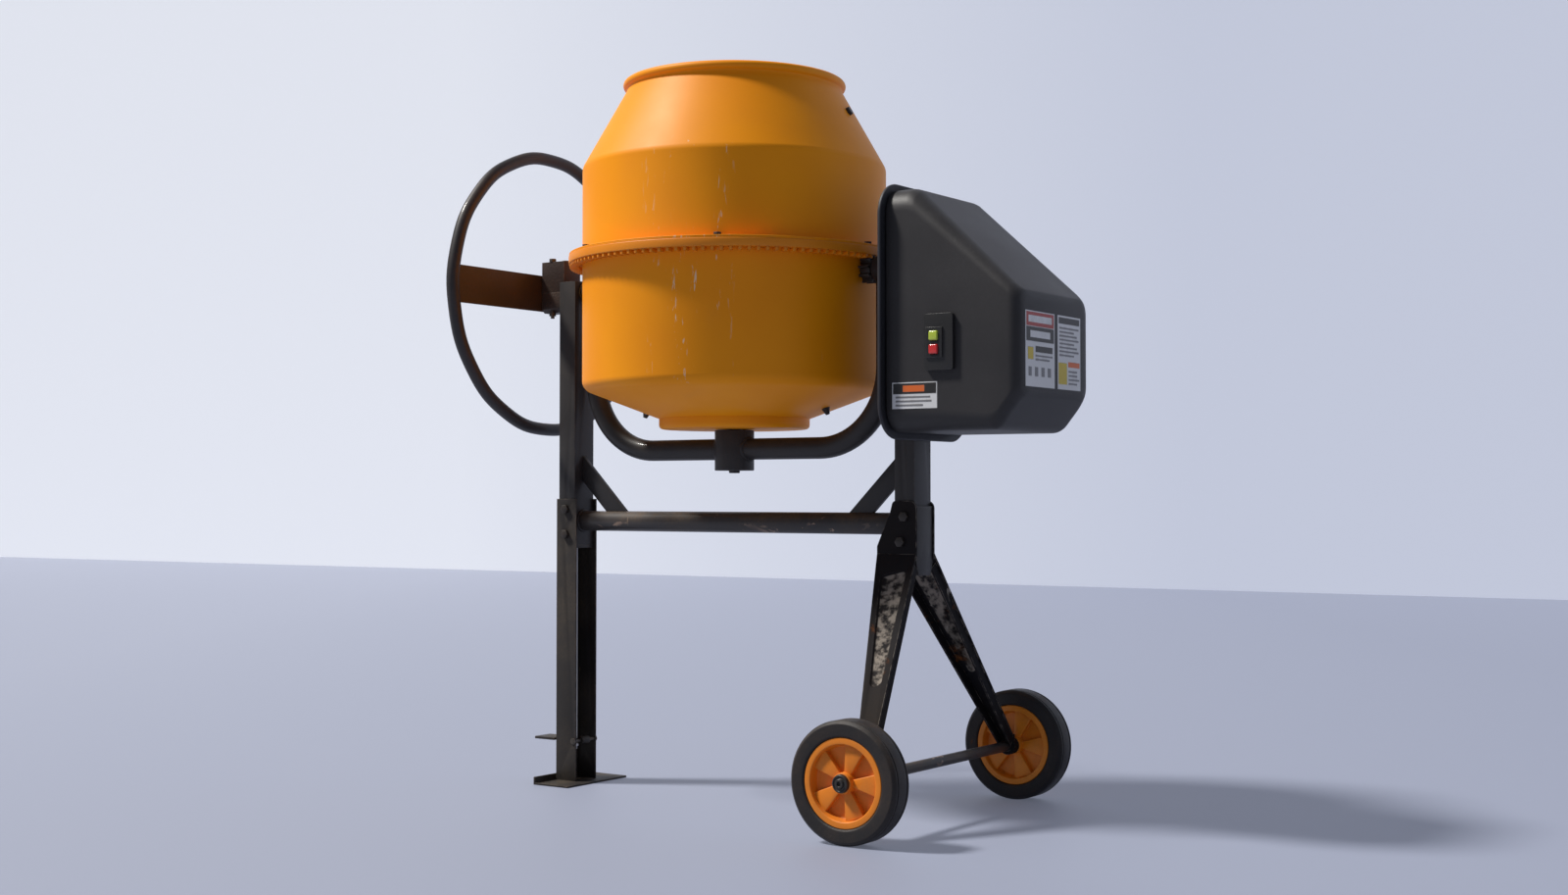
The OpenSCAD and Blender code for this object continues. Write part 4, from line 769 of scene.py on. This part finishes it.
def buildYokeArm(node, name, side):
    low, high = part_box(node)
    r, bend = yoke["tubeRadius"], yoke["bend"]
    outer = high.x - r if side > 0 else low.x + r
    bottom = low.z + r
    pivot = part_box("left_trunnion")
    top = (pivot[0].z + pivot[1].z) / 2
    inner = drumCentre.x + side * 0.030
    bm = bmesh.new()
    edges = ringOfEdges(bm, r, Vector((outer, 0, top)), axes["z"], yoke["sides"])
    edges = pushRing(bm, edges, Vector((0, 0, bottom + bend - top)))
    cent = Vector((outer - side * bend, 0, bottom + bend))
    edges = turnRing(bm, edges, cent, axes["y"], side * math.pi / 2, yoke["bendSteps"])
    pushRing(bm, edges, Vector((inner - cent.x, 0, 0)))
    ends = [edge for edge in bm.edges if len(edge.link_faces) == 1]
    bmesh.ops.holes_fill(bm, edges=ends, sides=0)
    makePiece(bm, name, "yoke", [paint["frame"]], [node], 50)


def buildWelds():
    hubRadius = (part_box("yoke_hub")[1].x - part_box("yoke_hub")[0].x) / 2
    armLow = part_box("yoke_arm_left")[0].z + yoke["tubeRadius"]
    bm = bmesh.new()
    for side in (-1, 1):
        spot = Vector((drumCentre.x + side * hubRadius, 0, armLow))
        weldRing(bm, spot, "x", yoke["tubeRadius"] + 0.0008, 0.0032, hubRadius, side)
    makePiece(bm, "hubWelds", "yoke", [paint["frame"]], (), 60)
    barLow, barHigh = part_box("cross_bar")
    bm = bmesh.new()
    for x, step in ((barLow.x, 0.001), (barHigh.x, -0.001)):
        spot = Vector((x + step, 0, (barLow.z + barHigh.z) / 2))
        weldRing(bm, spot, "x", (barHigh.z - barLow.z) / 2 + 0.0005, 0.003)
    makePiece(bm, "crossBarWelds", "frame", [paint["frame"]], (), 60)


buildTiltWheel()
buildYokeArm("yoke_arm_left", "yokeArmLeft", -1)
buildYokeArm("yoke_arm_right", "yokeArmRight", 1)
buildWelds()
print("yoke built")


# ---------- motor housing ----------

housing = {"wall": 0.003, "slopeStart": 0.056, "slopeEnd": 0.073, "noseIn": 0.049, "noseUp": 0.062,
           "backRadius": 0.044, "endRadius": 0.024, "planRadius": 0.022, "cornerSteps": 8,
           "lip": 0.0165, "lipSink": 0.0042, "panelCorner": 0.062}


# heights of a rounded outline's upper or lower run at a place along x
def heightAt(run, x):
    for (x0, z0), (x1, z1) in zip(run, run[1:]):
        if x <= x1:
            return z0 + (z1 - z0) * (x - x0) / max(x1 - x0, 1e-9)
    return run[-1][1]


def coverSection(bm, x, half, bottom, top, radius):
    radius = min(radius, half * 0.9, (top - bottom) * 0.45)
    steps = housing["cornerSteps"]
    centres = [(half - radius, top - radius, 0), (radius - half, top - radius, 1),
               (radius - half, bottom + radius, 2), (half - radius, bottom + radius, 3)]
    verts = []
    for y, z, quarter in centres:
        for k in range(steps + 1):
            angle = math.pi / 2 * (quarter + k / steps)
            verts.append(bm.verts.new((x, y + radius * math.cos(angle), z + radius * math.sin(angle))))
    return verts


def buildCover():
    low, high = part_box("housing_cover")
    pivot = middle("driven_pulley").z
    x0, x1 = low.x, high.x
    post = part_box("right_post")[1].x
    slopeX = post + housing["slopeStart"]
    corners = [((x0, low.z), 0), ((x1 - housing["noseIn"], low.z), 0.026),
               ((x1, low.z + housing["noseUp"]), 0.020), ((x1, pivot - housing["slopeEnd"]), 0.018),
               ((slopeX, high.z), 0.028), ((x0, high.z), 0)]
    draft = bmesh.new()
    outline(draft, [(Vector((x, 0, z)), soft) for (x, z), soft in corners], 7)
    halfway = (low.z + high.z) / 2
    upper = sorted((vert.co.x, vert.co.z) for vert in draft.verts if vert.co.z > halfway)
    lower = sorted((vert.co.x, vert.co.z) for vert in draft.verts if vert.co.z < halfway)
    draft.free()
    turnIn = housing["planRadius"]
    places = [x for x, z in upper + lower]
    places += [x1 - turnIn + turnIn * math.sin(math.pi / 2 * k / 8) for k in range(9)]
    places = [x for i, x in enumerate(sorted(places)) if i == 0 or x - sorted(places)[i - 1] > 0.0004]
    places[-1] = x1
    bm = bmesh.new()
    rings = []
    for x in places:
        past = max(0.0, x - (x1 - turnIn))
        half = high.y - (turnIn - math.sqrt(max(0.0, turnIn ** 2 - past ** 2)))
        share = min(1.0, max(0.0, (x - slopeX) / (x1 - slopeX)))
        radius = housing["backRadius"] + (housing["endRadius"] - housing["backRadius"]) * share
        rings.append(coverSection(bm, x, half, heightAt(lower, x), heightAt(upper, x), radius))
    for one, two in zip(rings, rings[1:]):
        for i in range(len(one)):
            bm.faces.new((one[i - 1], one[i], two[i], two[i - 1]))
    bm.faces.new(rings[-1])
    bmesh.ops.recalc_face_normals(bm, faces=bm.faces)
    bmesh.ops.solidify(bm, geom=list(bm.faces), thickness=housing["wall"])
    makePiece(bm, "housingCoverShell", "frame", [paint["housing"]],
              ["housing_cover"], 50)


def buildPanel():
    low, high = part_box("housing_back")
    r = housing["panelCorner"]
    bm = bmesh.new()
    corners = [(low.y, low.z), (high.y, low.z), (high.y, high.z), (low.y, high.z)]
    top = slab(bm, [(Vector((low.x, y, z)), r) for y, z in corners], Vector((high.x - low.x, 0, 0)), 12)
    bmesh.ops.inset_region(bm, faces=top, thickness=housing["lip"], depth=0, use_even_offset=True)
    bmesh.ops.translate(bm, verts=list({v for f in top for v in f.verts}),
                        vec=Vector((-housing["lipSink"], 0, 0)))
    soften(bm, 0.0032, 4, 40)
    makePiece(bm, "housingBackPanel", "frame", [paint["panel"]],
              ["housing_back"], 60)


buildCover()
buildPanel()


button = {"corner": 0.0028, "edge": 0.0022}


def buildButton(node, name, body, material):
    low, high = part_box(node)
    bm = bmesh.new()
    corners = [(low.x, low.z), (high.x, low.z), (high.x, high.z), (low.x, high.z)]
    slab(bm, [(Vector((x, high.y, z)), button["corner"]) for x, z in corners],
         Vector((0, low.y - high.y, 0)), 6)
    bmesh.ops.recalc_face_normals(bm, faces=bm.faces)
    front = min(bm.faces, key=lambda face: face.calc_center_median().y)
    bmesh.ops.bevel(bm, geom=list(front.edges), offset=button["edge"], segments=4, profile=0.5,
                    affect="EDGES", clamp_overlap=True, material=-1)
    makePiece(bm, name, body, [material], [node], 60)


buildButton("start_button", "startButton", "start", paint["green"])
buildButton("stop_button", "stopButton", "stop", paint["red"])


label = {"skin": 0.0008, "sunk": 0.0006, "lift": 0.0002, "step": 0.00004, "drop": 0.237, "height": 0.132,
         "first": (-0.116, -0.004), "second": (0.008, 0.100), "nearSize": (0.092, 0.047),
         "nearPlace": (0.020, 0.040)}


# colour blocks on the thin plates: (left, bottom, right, top) as shares of the plate
def printedPlate(bm, low, high, blocks, axis):
    if axis == "y":
        low = low + axes["y"] * label["sunk"]
    else:
        high = high - axes["x"] * label["sunk"]
    box(bm, low, high)
    for order, ((u0, v0, u1, v1), index) in enumerate(blocks):
        lift = label["lift"] + label["step"] * min(order, 8)
        z0, z1 = (low.z + (high.z - low.z) * v for v in (v0, v1))
        if axis == "y":
            x0, x1 = (low.x + (high.x - low.x) * u for u in (u0, u1))
            made = box(bm, (x0, low.y - lift, z0), (x1, low.y + lift, z1))
        else:
            y0, y1 = (low.y + (high.y - low.y) * u for u in (u0, u1))
            made = box(bm, (high.x - lift, y0, z0), (high.x + lift, y1, z1))
        for face in {face for vert in made for face in vert.link_faces}:
            face.material_index = index


def textRows(left, right, top, bottom, count, index, seed):
    rows = []
    pitch = (top - bottom) / count
    for k in range(count):
        share = 0.72 + 0.28 * (0.5 + 0.5 * math.sin(seed + 2.1 * k))
        rows.append(((left, top - pitch * (k + 0.75), left + (right - left) * share,
                      top - pitch * (k + 0.35)), index))
    return rows


def buildLabels():
    low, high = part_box("label_plates")
    skin = label["skin"]
    wide, tall = label["nearSize"]
    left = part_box("right_post")[1].x + label["nearPlace"][0]
    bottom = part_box("housing_cover")[0].z + label["nearPlace"][1]
    bm = bmesh.new()
    near = [((0.02, 0.56, 0.98, 0.96), 1), ((0.24, 0.64, 0.72, 0.88), 2)]
    near += textRows(0.08, 0.92, 0.52, 0.06, 3, 5, 0.4)
    printedPlate(bm, Vector((left, low.y, bottom)), Vector((left + wide, low.y + skin, bottom + tall)),
                 near, "y")
    z0 = middle("driven_pulley").z - label["drop"]
    z1 = z0 + label["height"]
    first = [((0.03, 0.80, 0.97, 0.985), 3), ((0.10, 0.85, 0.90, 0.94), 0), ((0.03, 0.60, 0.97, 0.79), 1),
             ((0.16, 0.65, 0.84, 0.74), 0), ((0.08, 0.36, 0.26, 0.52), 4), ((0.34, 0.46, 0.92, 0.54), 1),
             ((0.10, 0.14, 0.20, 0.26), 5), ((0.32, 0.14, 0.42, 0.26), 5), ((0.54, 0.14, 0.64, 0.26), 5),
             ((0.76, 0.14, 0.86, 0.26), 5)] + textRows(0.34, 0.92, 0.44, 0.34, 2, 5, 1.3)
    y0, y1 = label["first"]
    printedPlate(bm, Vector((high.x - skin, y0, z0)), Vector((high.x, y1, z1)), first, "x")
    second = [((0.05, 0.89, 0.95, 0.975), 1), ((0.04, 0.07, 0.40, 0.36), 4),
              ((0.46, 0.31, 0.96, 0.38), 2)]
    second += textRows(0.08, 0.94, 0.86, 0.44, 8, 5, 2.2) + textRows(0.48, 0.94, 0.28, 0.06, 4, 5, 3.7)
    y0, y1 = label["second"]
    printedPlate(bm, Vector((high.x - skin, y0, z0)), Vector((high.x, y1, z1)), second, "x")
    names = ["labelWhite", "labelBlack", "labelOrange", "labelRed", "labelYellow", "labelGrey"]
    makePiece(bm, "labelPlates", "frame", [paint[name] for name in names],
              ["label_plates"], 30, 0.00001)


buildLabels()
print("housing built")


# ---------- lock spring ----------

spring = {"turns": 7, "wire": 0.0011, "stepsPerTurn": 24}


def buildSpring():
    low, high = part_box("lock_spring")
    centre = (low + high) / 2
    wire = spring["wire"]
    radius = (high.x - low.x) / 2 - wire
    steps = spring["turns"] * spring["stepsPerTurn"]
    rise = (high.z - low.z - 2 * wire) / steps
    bm = bmesh.new()
    edges = ringOfEdges(bm, wire, Vector((centre.x + radius, centre.y, low.z + wire)), axes["y"], 10)
    verts = list({vert for edge in edges for vert in edge.verts})
    bmesh.ops.spin(bm, geom=verts + edges, cent=centre, axis=axes["z"], dvec=Vector((0, 0, rise)),
                   angle=full * spring["turns"], steps=steps, use_duplicate=False)
    ends = [edge for edge in bm.edges if len(edge.link_faces) == 1]
    bmesh.ops.holes_fill(bm, edges=ends, sides=0)
    makePiece(bm, "lockSpringCoil", "frame", [paint["steel"]], ["lock_spring"], 60)


buildSpring()


# ---------- everything whose CAD shape is already right, with its edges eased ----------

# finish, width of the eased edge, segments
eased = {
    "left_post": ("frame", 0.0022, 3), "right_post": ("frame", 0.0022, 3),
    "left_leg": ("leg", 0.0014, 3), "foot_plate": ("leg", 0.0011, 2),
    "cross_bar": ("bar", 0.0006, 2), "braces": ("frame", 0.0013, 2),
    "front_wheel_leg": ("wheelLeg", 0.0012, 2), "rear_wheel_leg": ("wheelLeg", 0.0012, 2),
    "leg_saddle": ("frame", 0.0010, 2), "frame_bolts": ("darkBolt", 0.0006, 2),
    "axle": ("bar", 0.0012, 2), "foot_pedal": ("leg", 0.0010, 2), "pedal_pin": ("bolt", 0.0005, 2),
    "rod_guide": ("frame", 0.0008, 2), "lock_rod": ("steel", 0.0006, 2),
    "left_bearing_base": ("casting", 0.0028, 3), "left_bearing_cap": ("casting", 0.0034, 4),
    "bearing_bolts": ("bolt", 0.0008, 2), "post_bushes": ("bronze", 0.0005, 2),
    "wheel_hub": ("casting", 0.0018, 3), "hub_bolts": ("bolt", 0.0006, 2),
    "left_trunnion": ("frame", 0.0014, 2), "right_trunnion": ("frame", 0.0014, 2),
    "shaft_bushes": ("bronze", 0.0005, 2), "yoke_hub": ("frame", 0.0016, 3),
    "hub_bearings": ("steel", 0.0008, 2), "spindle": ("steel", 0.0010, 2),
    "spindle_nuts": ("bolt", 0.0010, 2),
    "drum_bolts": ("darkBolt", 0.0006, 2), "mixing_blades": ("blade", 0.0011, 2),
    "pinion": ("darkBolt", 0.0006, 2), "drive_shaft": ("steel", 0.0012, 2),
    "driven_pulley": ("alloy", 0.0007, 2), "motor_pulley": ("alloy", 0.0005, 2),
    "motor_bracket": ("frame", 0.0010, 2), "motor": ("motor", 0.0008, 2),
    "drive_belt": ("belt", 0.0010, 2), "switch_box": ("switch", 0.0010, 3),
    "cover_screws": ("bolt", 0.0004, 2), "cable_gland": ("blackPlastic", 0.0006, 2),
}


def camel(node):
    words = node.split("_")
    return words[0] + "".join(word.capitalize() for word in words[1:])


def mergedCopy(node):
    bm = bmesh.new()
    bm.from_mesh(frame["nodes"][node].data)
    bmesh.ops.remove_doubles(bm, verts=bm.verts, dist=0.00001)
    bmesh.ops.dissolve_degenerate(bm, dist=0.0001, edges=bm.edges)
    bmesh.ops.dissolve_limit(bm, angle_limit=math.radians(0.6), verts=bm.verts, edges=bm.edges)
    for face in bm.faces:
        face.material_index = 0
    return bm


hollow = {"margin": 0.0120, "from": 0.07, "to": 0.63, "corner": 0.0100,
          "steps": ((0.0006, 0.0004), (0.0010, 0.0014), (0.0012, 0.0014), (0.0018, 0.0008))}


# the pressed hollow down the face of a wheel leg
def pressFace(bm):
    leaning = [face for face in bm.faces if 0.05 < abs(face.normal.z) < 0.9 and abs(face.normal.y) > 0.4]
    front = max(leaning, key=lambda face: face.calc_area() * (face.normal.z > 0))
    normal = front.normal.copy()
    border = list(front.edges)
    sides = sorted(border, key=lambda edge: -edge.calc_length())[:2]
    sides.sort(key=lambda edge: sum(vert.co.x for vert in edge.verts))
    corners = []
    for edge, inward in zip(sides, (1, -1)):
        low, high = sorted((vert.co for vert in edge.verts), key=lambda place: place.z)
        shift = Vector((inward * hollow["margin"], 0, 0))
        corners.append([high.lerp(low, hollow[end]) + shift for end in ("from", "to")])
    (a, b), (d, c) = corners
    bmesh.ops.delete(bm, geom=[front], context="FACES_ONLY")
    inner = outline(bm, [(place, hollow["corner"]) for place in (a, b, c, d)])
    bed = bmesh.ops.contextual_create(bm, geom=inner)["faces"]
    bmesh.ops.triangle_fill(bm, edges=border + inner, use_beauty=True, use_dissolve=False,
                            normal=normal)
    for face in bed:
        face.normal_update()
    if bed[0].normal.dot(normal) < 0:
        bmesh.ops.reverse_faces(bm, faces=bed)
    for wide, deep in hollow["steps"]:
        bmesh.ops.inset_region(bm, faces=bed, thickness=wide, depth=-deep, use_even_offset=True)


for node, (finish, width, segments) in eased.items():
    bm = mergedCopy(node)
    leg = node.endswith("wheel_leg")
    if leg:
        pressFace(bm)
    soften(bm, width, segments, shortest=0.012 if leg else 0.0)
    makePiece(bm, camel(node) + "Part", bodyOf[node], [paint[finish]], [node], 35)
print("eased pieces:", len(eased))


# ---------- studio ----------

studio = {"cameraPlace": (2.1372, -3.1045, 0.59295), "cameraTilt": 91.436, "cameraTurn": 34.31,
          "lens": 44.437, "sunTurn": -150, "sunHeight": 52, "sunStrength": 4.5,
          "sunSize": 9, "sky": 0.21, "floorGlow": 0.42, "wallGlow": 0.50, "fade": (-2.6, 2.6),
          "wallLeft": (-7.66, 18.9), "wallRight": (4.48, 11.05), "wallRun": 25, "wallHeight": 14,
          "floorLow": (-40, -30), "floorHigh": (40, 40)}


# colour fades to other from the left of the view to its right
def plainMaterial(name, colour, other, rough, glow):
    material, tree, shader, place = startMaterial(name)
    turn = math.radians(studio["cameraTurn"])
    across = addNode(tree, "ShaderNodeVectorMath", {0: place, 1: (math.cos(turn), math.sin(turn), 0)},
                     operation="DOT_PRODUCT").outputs["Value"]
    low, high = studio["fade"]
    mixed = mixColour(tree, remap(tree, across, low, high, kind="LINEAR"), colour, other)
    tree.links.new(mixed, shader.inputs["Base Color"])
    tree.links.new(mixed, shader.inputs["Emission Color"])
    shader.inputs["Emission Strength"].default_value = glow
    shader.inputs["Roughness"].default_value = rough
    return material


def stagePlane(name, corners, material):
    bm = bmesh.new()
    outlineEdges = outline(bm, [(Vector(corner), 0) for corner in corners])
    bmesh.ops.contextual_create(bm, geom=outlineEdges)
    mesh = bpy.data.meshes.new(name)
    bm.to_mesh(mesh)
    bm.free()
    mesh.materials.append(material)
    made = bpy.data.objects.new(name, mesh)
    scene.collection.objects.link(made)


def buildStudio():
    turn = math.radians(studio["cameraTurn"])
    right = Vector((math.cos(turn), math.sin(turn), 0))
    ahead = Vector((-math.sin(turn), math.cos(turn), 0))
    eye = Vector(studio["cameraPlace"])
    ground = Vector((eye.x, eye.y, 0))
    a, b = (ground + right * side + ahead * depth
            for side, depth in (studio["wallLeft"], studio["wallRight"]))
    run = (b - a).normalized() * studio["wallRun"]
    a, b = a - run, b + run
    up = Vector((0, 0, studio["wallHeight"]))
    stagePlane("backWall", [a, b, b + up, a + up],
               plainMaterial("wall", (0.60, 0.62, 0.665), (0.44, 0.468, 0.55), 0.9, studio["wallGlow"]))
    (x0, y0), (x1, y1) = studio["floorLow"], studio["floorHigh"]
    stagePlane("floorPlane", [(x0, y0, 0), (x1, y0, 0), (x1, y1, 0), (x0, y1, 0)],
               plainMaterial("floor", (0.225, 0.243, 0.31), (0.175, 0.192, 0.255), 0.62,
                             studio["floorGlow"]))
    camera = bpy.data.objects.new("camera", bpy.data.cameras.new("camera"))
    scene.collection.objects.link(camera)
    camera.location = eye
    camera.rotation_euler = (math.radians(studio["cameraTilt"]), 0, turn)
    camera.data.lens = studio["lens"]
    camera.data.sensor_width = 36
    camera.data.clip_end = 200
    scene.camera = camera
    sun = bpy.data.objects.new("keyLight", bpy.data.lights.new("keyLight", "SUN"))
    scene.collection.objects.link(sun)
    sun.data.energy = studio["sunStrength"]
    sun.data.angle = math.radians(studio["sunSize"])
    sun.data.color = (1.0, 0.97, 0.92)
    azimuth, height = math.radians(studio["sunTurn"]), math.radians(studio["sunHeight"])
    towards = Vector((math.cos(height) * math.cos(azimuth), math.cos(height) * math.sin(azimuth),
                      math.sin(height)))
    sun.rotation_euler = towards.to_track_quat("Z", "Y").to_euler()
    world = bpy.data.worlds.new("softSky")
    world.use_nodes = True
    world.node_tree.nodes["Background"].inputs[0].default_value = (0.80, 0.86, 1.0, 1)
    world.node_tree.nodes["Background"].inputs[1].default_value = studio["sky"]
    scene.world = world
    scene.view_settings.view_transform = "Standard"


buildStudio()
print("studio built")
